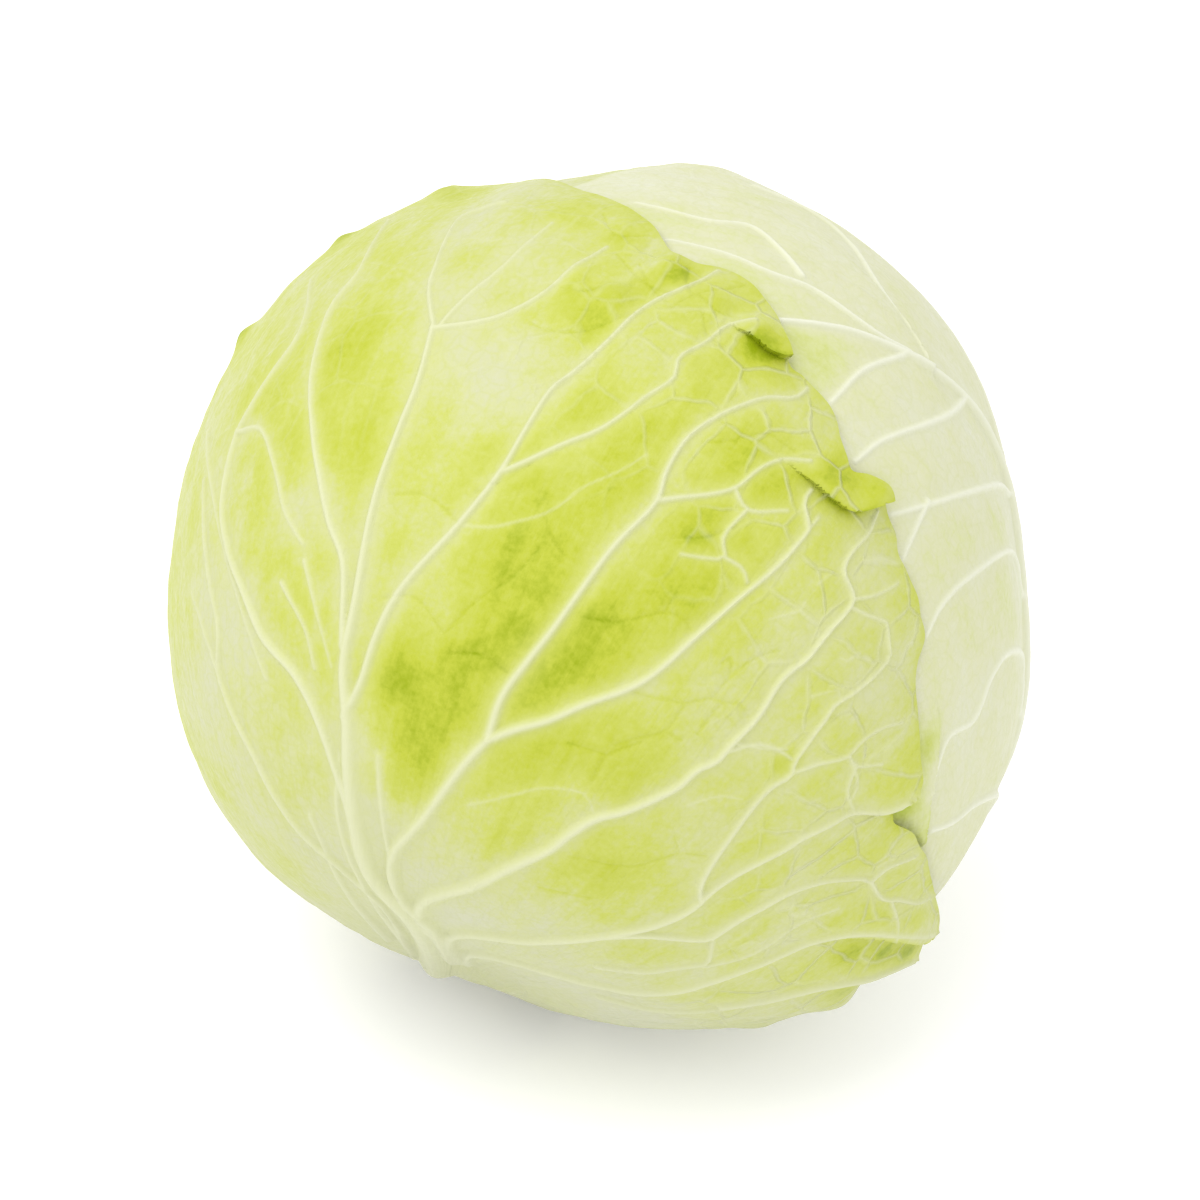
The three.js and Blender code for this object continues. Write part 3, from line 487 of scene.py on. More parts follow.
# The right leaf lies under the front leaf and folds over the crown
RIGHT_MARGIN = [
    (30, -84), (44, -78), (54, -66), (58, -50), (66, -34), (70, -16), (68, 2), (64, 20), (58, 38), (50, 56),
    (38, 72), (27, 87), (14, 101), (-4, 112), (-22, 115), (-38, 109), (-51, 96), (-60, 81), (-66, 66),
    (-66, 50), (-64, 34), (-62, 16), (-61, 0), (-58, -16), (-54, -32), (-46, -48), (-36, -64), (-26, -78),
]
RIGHT_MAIN_VEINS = [
    (7.4, 2.2, 3.0, 1.1, [(-2, -72), (2, -56), (2, -40), (0, -20), (-3, 0), (-6, 20), (-12, 44), (-18, 52),
     (-24, 58), (-32.8, 66), (-44, 72.7)]),
    (2.4, 1.6, 1.0, 0.6, [(-3, 0), (-16, 12), (-28.6, 15), (-33, 13), (-37, 7.3), (-42.6, 5.4),
     (-43.6, -2.6)]),
    (2.6, 1.6, 1.4, 0.8, [(1, -20), (-14, -8), (-29, -6), (-34, -8), (-39, -9)]),
    (2.6, 1.6, 1.4, 0.8, [(2, -42), (-14, -34), (-30, -24), (-42, -20)]),
    (2.9, 1.6, 1.4, 0.8, [(2, -50), (18, -36), (36, -24), (52, -6)]),
    (2.9, 1.6, 1.4, 0.8, [(1, -26), (16, -8), (32, 8), (46, 30)]),
    (2.6, 1.6, 1.2, 0.6, [(-4, 6), (10, 24), (22, 42), (30, 62)]),
    (2.5, 1.6, 1.0, 0.6, [(-9, 34), (2, 46), (10, 58), (16, 70)]),
]
RIGHT_BRANCHES = [
    (1.9, 1.4, 0.9, 0.6, [(-25, 59), (-38, 60), (-50, 57)]),
    (2.0, 1.4, 1.0, 0.6, [(-16, 49), (-23.7, 49), (-45, 49.6), (-52, 47.7)]),
    (2.0, 1.4, 1.0, 0.6, [(-9, 33), (-18, 36.6), (-34, 38.8), (-52, 39)]),
    (1.4, 1.3, 0.8, 0.5, [(-42, 39.6), (-47, 36), (-52, 31.4)]),
    (2.1, 1.4, 1.0, 0.6, [(-5, 17), (-20.8, 27.8), (-36.6, 27.9), (-45, 25), (-49, 21)]),
    (2.0, 1.4, 1.0, 0.6, [(-24, 59), (-27, 63), (-28.3, 68), (-29, 74), (-31.6, 79), (-32, 85), (-34, 94)]),
    (1.8, 1.4, 0.8, 0.5, [(-27, 76), (-21.8, 81), (-17.6, 86), (-20.6, 91), (-18.4, 101)]),
    (2.0, 1.4, 0.9, 0.6, [(-20, 56.6), (-11.4, 67), (1, 72), (10, 77), (13, 84.5)]),
]


def lateral(side, foot, reach):
    """A side vein that leaves the midrib and sweeps up towards the margin."""
    return (*LATERAL_SIZE, [
        (0, foot), (side * 0.36 * reach, foot + 0.2 * reach),
        (side * 0.72 * reach, foot + 0.55 * reach), (side * 0.92 * reach, foot + 0.95 * reach),
    ])


def plain_veins(bend):
    """A midrib and eight side veins, for the leaves that lie behind."""
    midrib = (*MIDRIB_SIZE, [(-bend, -70), (0, -40), (0, 0), (bend, 40), (2 * bend, 66)])
    laterals = [
        (-1, -56, 44), (1, -48, 50), (-1, -36, 52), (1, -26, 54), (-1, -14, 50), (1, -2, 44), (-1, 12, 36),
        (1, 24, 30),
    ]
    return [midrib, *(lateral(*place) for place in laterals)]


LEFT_MARGIN = [
    (26, -80), (42, -68), (56, -52), (64, -34), (68, -12), (68, 10), (64, 32), (54, 52), (38, 68), (18, 78),
    (0, 74), (-20, 78), (-38, 68), (-52, 50), (-60, 30), (-64, 8), (-62, -14), (-56, -36), (-44, -56),
    (-28, -76),
]
BACK_MARGIN = [
    (26, -82), (42, -70), (54, -52), (60, -30), (62, -6), (58, 20), (50, 44), (34, 62), (12, 72), (-10, 72),
    (-32, 64), (-50, 46), (-60, 22), (-64, -4), (-62, -28), (-54, -52), (-42, -70), (-26, -82),
]

# Where the right leaf is greener: place and width in degrees, and amount. The three at -47, -42 and -49
# across lie in the hollow of its first fold under the front leaf's margin: partly the leaf's own green,
# partly painted shade
RIGHT_PATCHES = [
    (-44, 72, 7, 0.3), (-40, 66, 8, 0.25), (-48, 62, 6, 0.2), (-44, 30, 10, 0.12), (-47, 4, 3.5, 0.55),
    (-42, -10, 3.5, 0.5), (-49, -5, 4, 0.8), (-36, 84, 7, 0.25), (-52, 44, 7, 0.15), (-30, 20, 10, 0.1),
    (-22, 92, 10, 0.12),
]
RIGHT_FOLDS = [
    Fold(1.3, 3, 0.4, [(-48, 14), (-46, 9), (-44.6, 3), (-43.4, -4), (-41, -9), (-38, -15)], side=-1),
    Fold(0.7, 6, 0.1, [(-10, 103), (-7, 90), (-9, 78), (-14, 66), (-20, 57)], side=-1),
]

# Spacing of the meshes in degrees. The two coarse values count steps of the fine grid
CAD_MARGIN_STEP = 4.4
MARGIN_STEP = 0.5
FINE_STEP = 0.3
COARSE = 3
HIDDEN_COARSE = 9
HIDDEN_SHARE = 0.999
BACK_STEP = 3
BACK_LEAST = 0.6
ROW_HEIGHT = 0.866

# Two rows of points inside the margin: how deep they lie, and the least depth that is kept
FIRST_ROW, SECOND_ROW = 0.45, 1.05
FIRST_ROW_LEAST, SECOND_ROW_LEAST = 0.4, 0.95
GRID_LEAST = 1.3

# The fine grid covers this band beside the veins and the folds, but leaves the line of a fold clear
VEIN_BAND_SHARE = 1.4
VEIN_BAND = 0.25
FOLD_BAND = 1.6
FOLD_CLEAR = 0.22


class Leaf:
    """A wrapper leaf: where it lies, its margin, veins and folds, and where its lamina is greener."""

    def __init__(self, node, plane, margin, veins, lift, waves, cross_veins=(), grooves=(), folds=(),
                 swells=(), patches=(), green=0.5, net=0.3):
        self.node = node
        self.plane = plane
        self.lift = lift * MM
        self.waves = waves
        self.veins = [Vein(*values) for values in veins]
        self.veins += [Vein(*CROSS_VEIN_SIZE, points) for points in cross_veins]
        self.grooves = [Vein(*GROOVE_SIZE, points) for points in grooves]
        self.folds = folds
        self.swells = swells
        self.patches = patches
        self.green = green
        self.net = net
        polar = math.asin((STEM_RADIUS + STEM_CLEARANCE) / (HEAD_RADIUS * LEAF_FOOT_SHARE)) / DEG
        arc = [head_direction(polar, plane.longitude + turn) for turn in range(-80, 81, 16)]
        closed = [*margin, *plane.positions(np.array(arc)).tolist()]
        self.coarse_outline = even_points(closed, CAD_MARGIN_STEP, closed=True)
        self.outline = even_points(closed, MARGIN_STEP, closed=True)

    def depth(self, points):
        """Distance to the margin in degrees, positive inside, and exact only near the margin."""
        depth = margin_depth(points, self.coarse_outline)
        near = np.abs(depth) < 2 * MARGIN_FINE_REACH
        share = 1 - smoothstep(np.abs(depth[near]) / MARGIN_FINE_REACH - 1)
        depth[near] += share * (margin_depth(points[near], self.outline) - depth[near])
        return depth


LEAVES = [
    Leaf("leaf_back", LeafPlane(90, 165), BACK_MARGIN, plain_veins(-3), 1.2, 9, green=0.2),
    Leaf("leaf_left", LeafPlane(88, -115), LEFT_MARGIN, plain_veins(3), 0.7, 10, green=0.3),
    Leaf("leaf_right", LeafPlane(92, 100), RIGHT_MARGIN, RIGHT_MAIN_VEINS + RIGHT_BRANCHES, 1.0, 9,
         folds=RIGHT_FOLDS, patches=RIGHT_PATCHES, green=0.22),
    Leaf("leaf_front", LeafPlane(84, -14), FRONT_MARGIN, FRONT_MAIN_VEINS + FRONT_FLUTES + FRONT_BRANCHES,
         1.2, 13, FRONT_CROSS_VEINS, FRONT_GROOVES, FRONT_FOLDS, FRONT_SWELLS, FRONT_PATCHES,
         green=FRONT_GREEN, net=1.0),
]


# How the layers lie on each other
def drape(directions, leaf):
    points = leaf.plane.positions(directions)
    return smoothstep(1 + margin_depth(points, leaf.coarse_outline) / DRAPE_REACH)


def stack_radius(directions, layers):
    radius = head_radius(directions) - HEART_INSET
    for leaf in LEAVES[:layers]:
        radius += drape(directions, leaf) * (LAMINA + LEAF_GAP)
    return radius


def rest_shift(directions):
    """How far each layer moves inwards so that the lowest place is flat."""
    level = directions @ DOWN
    near = level > math.cos(REST_REACH * DEG)
    shift = np.zeros(len(directions))
    below = stack_radius(directions[near], len(LEAVES)) - REST_HEIGHT / level[near]
    soft = (below + REST_EDGE) ** 2 / (4 * REST_EDGE)
    shift[near] = np.where(below <= -REST_EDGE, 0, np.where(below >= REST_EDGE, below, soft))
    return shift


def cover_share(directions, layer):
    """How far a layer lies under other leaves or under the head, 0 to 1."""
    angle = np.arccos(np.clip(directions @ DOWN, -1, 1)) / DEG
    share = smoothstep((UNDERSIDE_REACH - angle) / UNDERSIDE_FADE)
    for leaf in LEAVES[layer + 1:]:
        depth = leaf.depth(leaf.plane.positions(directions))
        share = np.maximum(share, smoothstep(1 + depth / COVER_REACH))
    return share


def margin_lift(points, depth, leaf):
    """The margin lifts a little off the head, in waves, and more where the leaf frills."""
    near = (1 - smoothstep(np.maximum(depth, 0) / MARGIN_ROLL_REACH)) ** 2
    turn = np.arctan2(points[:, 1], points[:, 0])
    rise = leaf.lift * near * (0.5 + 0.5 * np.sin(leaf.waves * turn) * np.cos(3 * turn))
    for x, y, width, height in leaf.swells:
        rise += height * MM * np.exp(-((points[:, 0] - x) ** 2 + (points[:, 1] - y) ** 2) / width ** 2)
    return rise


def soft_noise(directions, size, seed):
    """Smooth random values, about -1 to 1, with lumps of that size in metres on the head."""
    scale = HEAD_RADIUS / size
    offset = Vector((seed * 7.1, seed * 3.3, seed * 5.7))
    return np.array([noise.noise(Vector(d) * scale + offset) for d in directions])


# Mottles of the lamina: their sizes in metres, and what makes it greener: the mottles, and painted shade in
# the wrinkles and under the folds
BROAD_SIZE, SMALL_SIZE = 0.014, 0.005
BROAD_GREEN, SMALL_GREEN, GROOVE_PAINTED_SHADE, FOLD_PAINTED_SHADE = 0.1, 0.06, 0.09, 0.28


class Relief:
    """What stands out of a leaf at some points: veins, folds, the quilted lamina, and colour masks."""

    def __init__(self, leaf, points, directions, settings):
        crest = np.zeros(len(points))
        self.vein = np.zeros(len(points))
        self.halo = np.zeros(len(points))
        for vein in leaf.veins:
            distance, width, height = vein.reading(points)
            near = np.isfinite(distance)
            distance, width, height = distance[near], width[near], height[near]
            ridge = np.clip(1 - (distance / (RIDGE_REACH * width)) ** 2, 0, 1) ** 1.5
            ridge += SHOULDER_SHARE * np.exp(-((distance / (SHOULDER_REACH * width)) ** 2))
            crest[near] += (height * ridge / (1 + SHOULDER_SHARE)) ** 4
            strength = np.clip(height / MM, 0.08, 1)
            line = strength ** 0.5 * np.exp(-((distance / width) ** 2))
            glow = strength ** 0.8 * np.exp(-((distance / (GLOW_SHARE * width + GLOW_REACH)) ** 2))
            self.vein[near] = np.maximum(self.vein[near], line)
            self.halo[near] = np.maximum(self.halo[near], glow)
        groove = np.zeros(len(points))
        for wrinkle in leaf.grooves:
            distance, width, _ = wrinkle.reading(points)
            near = np.isfinite(distance)
            groove[near] = np.maximum(groove[near], np.exp(-((distance[near] / width[near]) ** 2)))
        self.rise = np.zeros(len(points))
        self.slide = np.zeros((len(points), 2))
        shadow = np.zeros(len(points))
        for fold in leaf.folds:
            rise, slide, dark = fold.reading(points)
            self.rise += rise
            self.slide += slide
            shadow = np.maximum(shadow, dark)
        quilt = 1 - self.halo
        broad = soft_noise(directions, BROAD_SIZE, 1)
        small = soft_noise(directions, SMALL_SIZE, 2)
        pucker = quilt * (0.7 + 0.5 * broad) + 0.35 * small * (0.4 + 0.6 * quilt)
        self.height = settings.vein_height * crest ** 0.25 + settings.pucker * pucker - GROOVE_DEPTH * groove
        self.green = leaf.green + BROAD_GREEN * broad + SMALL_GREEN * small
        # Painted shade: greener along the wrinkles and where the folds cast their shadow
        self.green += GROOVE_PAINTED_SHADE * groove + FOLD_PAINTED_SHADE * shadow
        for x, y, width, amount in leaf.patches:
            self.green += amount * np.exp(-((points[:, 0] - x) ** 2 + (points[:, 1] - y) ** 2) / width ** 2)


def lattice(leaf, step):
    """A hexagonal grid over the box round a leaf: its two indices and its places."""
    rows = math.ceil(LEAF_REACH / (step * ROW_HEIGHT))
    j, i = np.meshgrid(np.arange(-rows, rows + 1), np.arange(-2 * rows, 2 * rows + 1))
    i, j = i.ravel(), j.ravel()
    points = np.stack([(i + j / 2) * step, j * step * ROW_HEIGHT], axis=1)
    low, high = leaf.outline.min(axis=0), leaf.outline.max(axis=0)
    keep = np.all((points > low) & (points < high), axis=1)
    return i[keep], j[keep], points[keep]


def inner_rows(leaf):
    """Two rows of points that follow the margin inside it."""
    steps = np.roll(leaf.outline, -1, axis=0) - np.roll(leaf.outline, 1, axis=0)
    inwards = np.stack([-steps[:, 1], steps[:, 0]], axis=1) / np.linalg.norm(steps, axis=1)[:, None]
    rows = np.vstack([leaf.outline + FIRST_ROW * inwards, (leaf.outline + SECOND_ROW * inwards)[::2]])
    in_first = np.arange(len(rows)) < len(leaf.outline)
    return rows[margin_depth(rows, leaf.outline) > np.where(in_first, FIRST_ROW_LEAST, SECOND_ROW_LEAST)]


def back_points(leaf):
    """Inner points of the inner face."""
    _, _, points = lattice(leaf, BACK_STEP)
    return points[leaf.depth(points) > BACK_LEAST * BACK_STEP]


def face_points(leaf, layer):
    """Inner points of the outer face, finest near the veins and coarse where other leaves cover it."""
    i, j, points = lattice(leaf, FINE_STEP)
    band = np.zeros(len(points), bool)
    for vein in leaf.veins + leaf.grooves:
        distance, width, _ = vein.reading(points, 3)
        band |= distance < VEIN_BAND_SHARE * width + VEIN_BAND
    clear = np.ones(len(points), bool)
    for fold in leaf.folds:
        distance, _, _ = line_distance(points, fold.line, 3)
        band |= distance < FOLD_BAND
        clear &= distance > FOLD_CLEAR
    coarse = (i % COARSE == 0) & (j % COARSE == 0)
    chosen = clear & (band | coarse)
    i, j, points = i[chosen], j[chosen], points[chosen]
    depth = leaf.depth(points)
    rough = (i % HIDDEN_COARSE == 0) & (j % HIDDEN_COARSE == 0)
    hidden = cover_share(leaf.plane.directions(points), layer) > HIDDEN_SHARE
    keep = (depth > GRID_LEAST) & (~hidden | rough)
    banks = [fold.banks() for fold in leaf.folds]
    banks = [bank[leaf.depth(bank) > GRID_LEAST] for bank in banks]
    return np.vstack([inner_rows(leaf), points[keep], *banks])


def triangles_between(outline, inner):
    """Triangles of an outline and the points inside it. The points keep their order."""
    points = [Vector(p) for p in np.vstack([outline, inner])]
    count = len(outline)
    edges = [(i, (i + 1) % count) for i in range(count)]
    vertices, _, faces, _, _, _ = delaunay_2d_cdt(points, edges, [], 1, 1e-7)
    if len(vertices) != len(points):
        raise RuntimeError("two points of a leaf fall on each other")
    return [tuple(face) for face in faces]


def leaf_surfaces(leaf, layer, points, settings):
    """Places of the outer and inner face at some points, the relief, and the depth from the margin."""
    directions = leaf.plane.directions(points)
    depth = np.maximum(leaf.depth(points), 0)
    exposed = 1 - cover_share(directions, layer)
    taper = exposed * (1 - smoothstep(depth / MARGIN_TAPER_REACH))
    low = stack_radius(directions, layer) + LEAF_GAP - rest_shift(directions)
    low += exposed * margin_lift(points, depth, leaf) - THIN_INSIDE * taper
    relief = Relief(leaf, points, directions, settings)
    high = low + LAMINA - THIN_OUTSIDE * taper + exposed * (relief.height + relief.rise)
    low += exposed * relief.rise * (1 - smoothstep(depth / 2))
    directions = leaf.plane.directions(points + exposed[:, None] * relief.slide)
    return CENTRE + high[:, None] * directions, CENTRE + low[:, None] * directions, relief, depth


def mesh_object(name, vertices, faces):
    """A new object at the origin from vertices and faces."""
    mesh = bpy.data.meshes.new(name)
    mesh.from_pydata([tuple(v) for v in vertices], [], faces)
    mesh.validate()
    mesh.update()
    new = bpy.data.objects.new(name, mesh)
    bpy.context.collection.objects.link(new)
    return new


def select_only(piece):
    bpy.ops.object.select_all(action="DESELECT")
    piece.select_set(True)
    bpy.context.view_layer.objects.active = piece


# The fan map spreads from the foot of the leaf: where its middle lies below the leaf's, and its length
FAN_FOOT = 86
FAN_LENGTH = 200

# Faces that meet at less than this many degrees are shaded as one
SMOOTH_ANGLE = 60

# The net of small veins lies outside an oval round this point, and fades towards the left of the leaf
NET_X, NET_Y, NET_FLATTEN = 2, -12, 0.8
NET_START, NET_FADE = 28, 26
NET_LEFT, NET_LEFT_FADE, NET_LEFT_SHARE = -20, 50, 0.3


def net_share(points):
    """How much the net of small veins shows, 0 to 1."""
    reach = np.hypot(points[:, 0] - NET_X, NET_FLATTEN * (points[:, 1] - NET_Y))
    right = smoothstep((points[:, 0] - NET_LEFT) / NET_LEFT_FADE)
    return smoothstep((reach - NET_START) / NET_FADE) * (NET_LEFT_SHARE + (1 - NET_LEFT_SHARE) * right)


def make_leaf(leaf, layer, settings, material):
    """A closed blade: a fine outer face, a plain inner face and the cut margin between them."""
    inner_points = face_points(leaf, layer)
    back_grid = back_points(leaf)
    count = len(leaf.outline)
    front = np.vstack([leaf.outline, inner_points])
    back = np.vstack([leaf.outline, back_grid])
    outer, _, relief, depth = leaf_surfaces(leaf, layer, front, settings)
    _, inner, _, _ = leaf_surfaces(leaf, layer, back, settings)
    shift = len(front)
    faces = triangles_between(leaf.outline, inner_points)
    faces += [(shift + c, shift + b, shift + a) for a, b, c in triangles_between(leaf.outline, back_grid)]
    for a in range(count):
        b = (a + 1) % count
        faces.append((a, shift + a, shift + b, b))
    new = mesh_object(leaf.node + "_dressed", np.vstack([outer, inner]), faces)
    select_only(new)
    bpy.ops.object.mode_set(mode="EDIT")
    bpy.ops.mesh.select_all(action="SELECT")
    bpy.ops.mesh.normals_make_consistent(inside=False)
    bpy.ops.object.mode_set(mode="OBJECT")
    bpy.ops.object.shade_smooth_by_angle(angle=SMOOTH_ANGLE * DEG)
    foot = np.concatenate([front[:, 1], back[:, 1]])
    masks = {
        "vein": np.concatenate([relief.vein, np.zeros(len(back))]),
        "halo": np.concatenate([relief.halo, np.zeros(len(back))]),
        # The green mask also carries the painted shade of the folds and wrinkles
        "green": np.concatenate([relief.green, np.full(len(back), leaf.green)]),
        "foot": smoothstep((FOOT_START - foot) / FOOT_FADE),
        "margin": np.concatenate([1 - smoothstep(depth / MARGIN_TINT_REACH), np.zeros(len(back))]),
        "net": np.concatenate([leaf.net * net_share(front), np.zeros(len(back))]),
    }
    fan = np.vstack([front, back]) + (0, FAN_FOOT)
    length = np.hypot(fan[:, 0], fan[:, 1]) / FAN_LENGTH
    fan = np.stack([np.arctan2(fan[:, 0], fan[:, 1]) / 2 + 0.5, length], axis=1)
    corners = np.zeros(len(new.data.loops), np.int32)
    new.data.loops.foreach_get("vertex_index", corners)
    chart = new.data.uv_layers.new(name="fan")
    chart.data.foreach_set("uv", fan[corners].ravel())
    for name, values in masks.items():
        attribute = new.data.attributes.new(name, "FLOAT", "POINT")
        attribute.data.foreach_set("value", values.astype(np.float32))
    new.data.materials.append(material)
    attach(new, "root")
    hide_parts(leaf.node)
    return new


# Colours and materials
def linear(code):
    """A linear colour from six sRGB hexadecimal digits."""
    channels = [int(code[i:i + 2], 16) / 255 for i in (0, 2, 4)]
    return tuple(c / 12.92 if c <= 0.04045 else ((c + 0.055) / 1.055) ** 2.4 for c in channels)


# Sizes of the patterns in the leaf, in millimetres
CLOUD_SIZE = 16.67
WARP_SIZE = 7.69
WIDE_NET_SIZE = 11.76
NARROW_NET_SIZE = 3.33
GRAIN_SIZE = 1.43

# Streaks of the fan map: how many lie across it and along it
STREAKS = (70, 3.5, 1)

TISSUE_IOR = 1.42
HEART_SHADE = linear("b1b888")
STEM_SHADE = linear("9e9e77")

ADD, SUBTRACT, MULTIPLY = ({"operation": name, "use_clamp": True} for name in ("ADD", "SUBTRACT", "MULTIPLY"))
COLOURS = {"data_type": "RGBA"}
VECTORS = {"data_type": "VECTOR"}


def shader_node(tree, kind, settings, inputs, output=0):
    """Adds a shader node, sets its options, sets or links its inputs, and gives one of its outputs."""
    node = tree.nodes.new("ShaderNode" + kind)
    for name, value in settings.items():
        setattr(node, name, value)
    for key, value in inputs.items():
        if isinstance(value, bpy.types.NodeSocket):
            tree.links.new(value, node.inputs[key])
        else:
            node.inputs[key].default_value = value
    return node.outputs[output] if len(node.outputs) else None


def empty_material(name):
    material = bpy.data.materials.new(name)
    material.use_nodes = True
    material.node_tree.nodes.clear()
    return material, material.node_tree


def finish_material(tree, inputs):
    shader = shader_node(tree, "BsdfPrincipled", {}, inputs)
    shader_node(tree, "OutputMaterial", {}, {"Surface": shader})


def leaf_material(name, look):
    """Leaf lamina under a waxy skin: satin, in mottled greens, paler over the veins and near the stem."""
    material, tree = empty_material(name)
    place = shader_node(tree, "TexCoord", {}, {}, "Object")
    vein, halo, foot, green, margin, net = (
        shader_node(tree, "Attribute", {"attribute_name": mask}, {}, "Fac")
        for mask in ("vein", "halo", "foot", "green", "margin", "net"))
    fan = shader_node(tree, "TexCoord", {}, {}, "UV")
    fan = shader_node(tree, "Mapping", {}, {"Vector": fan, "Scale": STREAKS})
    cloud, fine, streaks, warp = (
        shader_node(tree, "TexNoise", {}, {
            "Vector": where, "Scale": scale, "Detail": detail, "Roughness": rough}, output)
        for where, scale, detail, rough, output in (
            (place, 1 / (CLOUD_SIZE * MM), 4, 0.6, 0), (place, 1 / (GRAIN_SIZE * MM), 3, 0.6, 0),
            (fan, 1, 4, 0.65, 0), (place, 1 / (WARP_SIZE * MM), 2, 0.5, "Color")))
    bent = shader_node(tree, "Mix", VECTORS, {0: 0.003, 4: place, 5: warp}, 1)

    # Nets of small veins, as thin lines between cells
    nets = []
    for size, sharpness in ((WIDE_NET_SIZE, 19), (NARROW_NET_SIZE, 8)):
        cells = {"Vector": bent, "Scale": 1 / (size * MM)}
        edge = shader_node(tree, "TexVoronoi", {"feature": "DISTANCE_TO_EDGE"}, cells)
        edge = shader_node(tree, "Math", MULTIPLY, {0: edge, 1: sharpness})
        nets.append(shader_node(tree, "Math", SUBTRACT, {0: 1.0, 1: edge}))
    web, narrow = nets
    web = shader_node(tree, "Math", MULTIPLY, {0: web, 1: net})
    lamina = shader_node(tree, "Math", SUBTRACT, {0: 1.0, 1: halo})
    web = shader_node(tree, "Math", MULTIPLY, {0: web, 1: lamina})

    # How green the lamina is, painted shade of the folds and wrinkles included. A glow beside the veins takes
    # the deep green out of it there
    share = green
    for pattern, reach in ((cloud, 0.13), (fine, 0.07), (streaks, 0.08)):
        change = shader_node(tree, "MapRange", {}, {0: pattern, 1: 0.3, 2: 0.7, 3: -reach, 4: reach})
        share = shader_node(tree, "Math", ADD, {0: share, 1: change})
    glow = shader_node(tree, "Math", MULTIPLY, {0: halo, 1: 0.25})
    share = shader_node(tree, "Math", SUBTRACT, {0: share, 1: glow})
    flesh = shader_node(tree, "ValToRGB", {}, {"Fac": share})
    stops = [(0.0, look.pale), (0.28, look.soft), (0.52, look.light), (0.76, look.rich), (1.0, look.deep)]
    elements = flesh.node.color_ramp.elements
    for _ in stops[2:]:
        elements.new(0.5)
    for element, (position, colour) in zip(elements, stops):
        element.position = position
        element.color = (*colour, 1)
    layers = [
        (narrow, 0.14, look.rich), (web, 0.45, look.vein), (halo, 0.5, look.glow), (vein, 0.92, look.vein),
        (margin, 0.35, look.rich), (foot, 0.6, look.pale),
    ]
    for mask, strength, colour in layers:
        share = shader_node(tree, "Math", MULTIPLY, {0: mask, 1: strength})
        flesh = shader_node(tree, "Mix", COLOURS, {0: share, 6: flesh, 7: (*colour, 1)}, 2)

    # Wrinkles, clouds and grain are too shallow for the mesh
    bumps = 0.0
    for pattern, height in ((web, 0.2), (streaks, 0.3), (cloud, 0.18), (fine, 0.09)):
        part = shader_node(tree, "Math", MULTIPLY, {0: pattern, 1: height})
        bumps = shader_node(tree, "Math", ADD, {0: bumps, 1: part})
    gloss = shader_node(tree, "Math", MULTIPLY, {0: fine, 1: 0.2})
    finish_material(tree, {
        "Base Color": flesh,
        "Roughness": shader_node(tree, "Math", ADD, {0: 0.36, 1: gloss}),
        "Normal": shader_node(tree, "Bump", {}, {"Height": bumps, "Strength": 0.9, "Distance": 0.0016}),
        "IOR": TISSUE_IOR,
        "Specular IOR Level": 0.2,
    })
    return material


def flesh_material(name, colour, shade, roughness, size):
    """Pale plant flesh, packed or cut: even and dull, with a faint grain of that size in millimetres."""
    material, tree = empty_material(name)
    place = shader_node(tree, "TexCoord", {}, {}, "Object")
    noise_inputs = {"Vector": place, "Scale": 1 / (size * MM), "Detail": 4, "Roughness": 0.6}
    grain = shader_node(tree, "TexNoise", {}, noise_inputs)
    finish_material(tree, {
        "Base Color": shader_node(tree, "Mix", COLOURS, {0: grain, 6: (*shade, 1), 7: (*colour, 1)}, 2),
        "Roughness": roughness,
        "Normal": shader_node(tree, "Bump", {}, {"Height": grain, "Strength": 0.3, "Distance": 0.0004}),
        "IOR": TISSUE_IOR,
    })
    return material


# Settings shown in the panel
def colour_property(name, description, code):
    return bpy.props.FloatVectorProperty(
        name=name, description=description, subtype="COLOR", size=3, min=0, max=1, default=linear(code))


class CabbageLeafLook(bpy.types.PropertyGroup):
    """Colours of one kind of leaf."""

    # Deep green is both the leaf's greenest patches and painted shade in the hollows under the folds
    deep: colour_property("Deep green", "Lamina in the greenest hollows", "87970a")
    rich: colour_property("Rich green", "Lamina in the green patches", "a8b036")
    light: colour_property("Light green", "Lamina between the veins", "b2b85a")
    soft: colour_property("Soft green", "Lamina in the paler parts", "b8bb86")
    pale: colour_property("Pale", "Bleached lamina near the stem", "b9ba9f")
    glow: colour_property("Vein halo", "Yellower lamina beside the veins", "babf6c")
    vein: colour_property("Vein", "Waxy crest of the veins", "c4c6a2")


class CabbageSettings(bpy.types.PropertyGroup):
    """Sizes of the leaf surface, and the stage."""

    outer: bpy.props.PointerProperty(
        type=CabbageLeafLook, name="Outer leaf", description="Green outer leaves")
    inner: bpy.props.PointerProperty(
        type=CabbageLeafLook, name="Inner leaf", description="Paler leaves under them")
    vein_height: bpy.props.FloatProperty(
        name="Vein height", description="Share of the full height of the veins", default=1.0, min=0, max=1.2,
        subtype="FACTOR")
    pucker: bpy.props.FloatProperty(
        name="Pucker", description="Height of the quilted lamina between the veins", default=0.0006, min=0,
        max=0.002, unit="LENGTH", precision=4)
    heart_colour: colour_property("Heart", "Close-packed inner leaves", "c4c9aa")
    stem_colour: colour_property("Stem", "Cut stem end", "bebfa1")
    floor_colour: colour_property("Floor", "Pale table", "f4f4f6")
    camera_distance: bpy.props.FloatProperty(
        name="Camera distance", description="From the middle of the head", default=1.0, min=0.3,
        unit="LENGTH")
    camera_lens: bpy.props.FloatProperty(
        name="Lens", description="Focal length", default=139.17, min=20, unit="CAMERA")


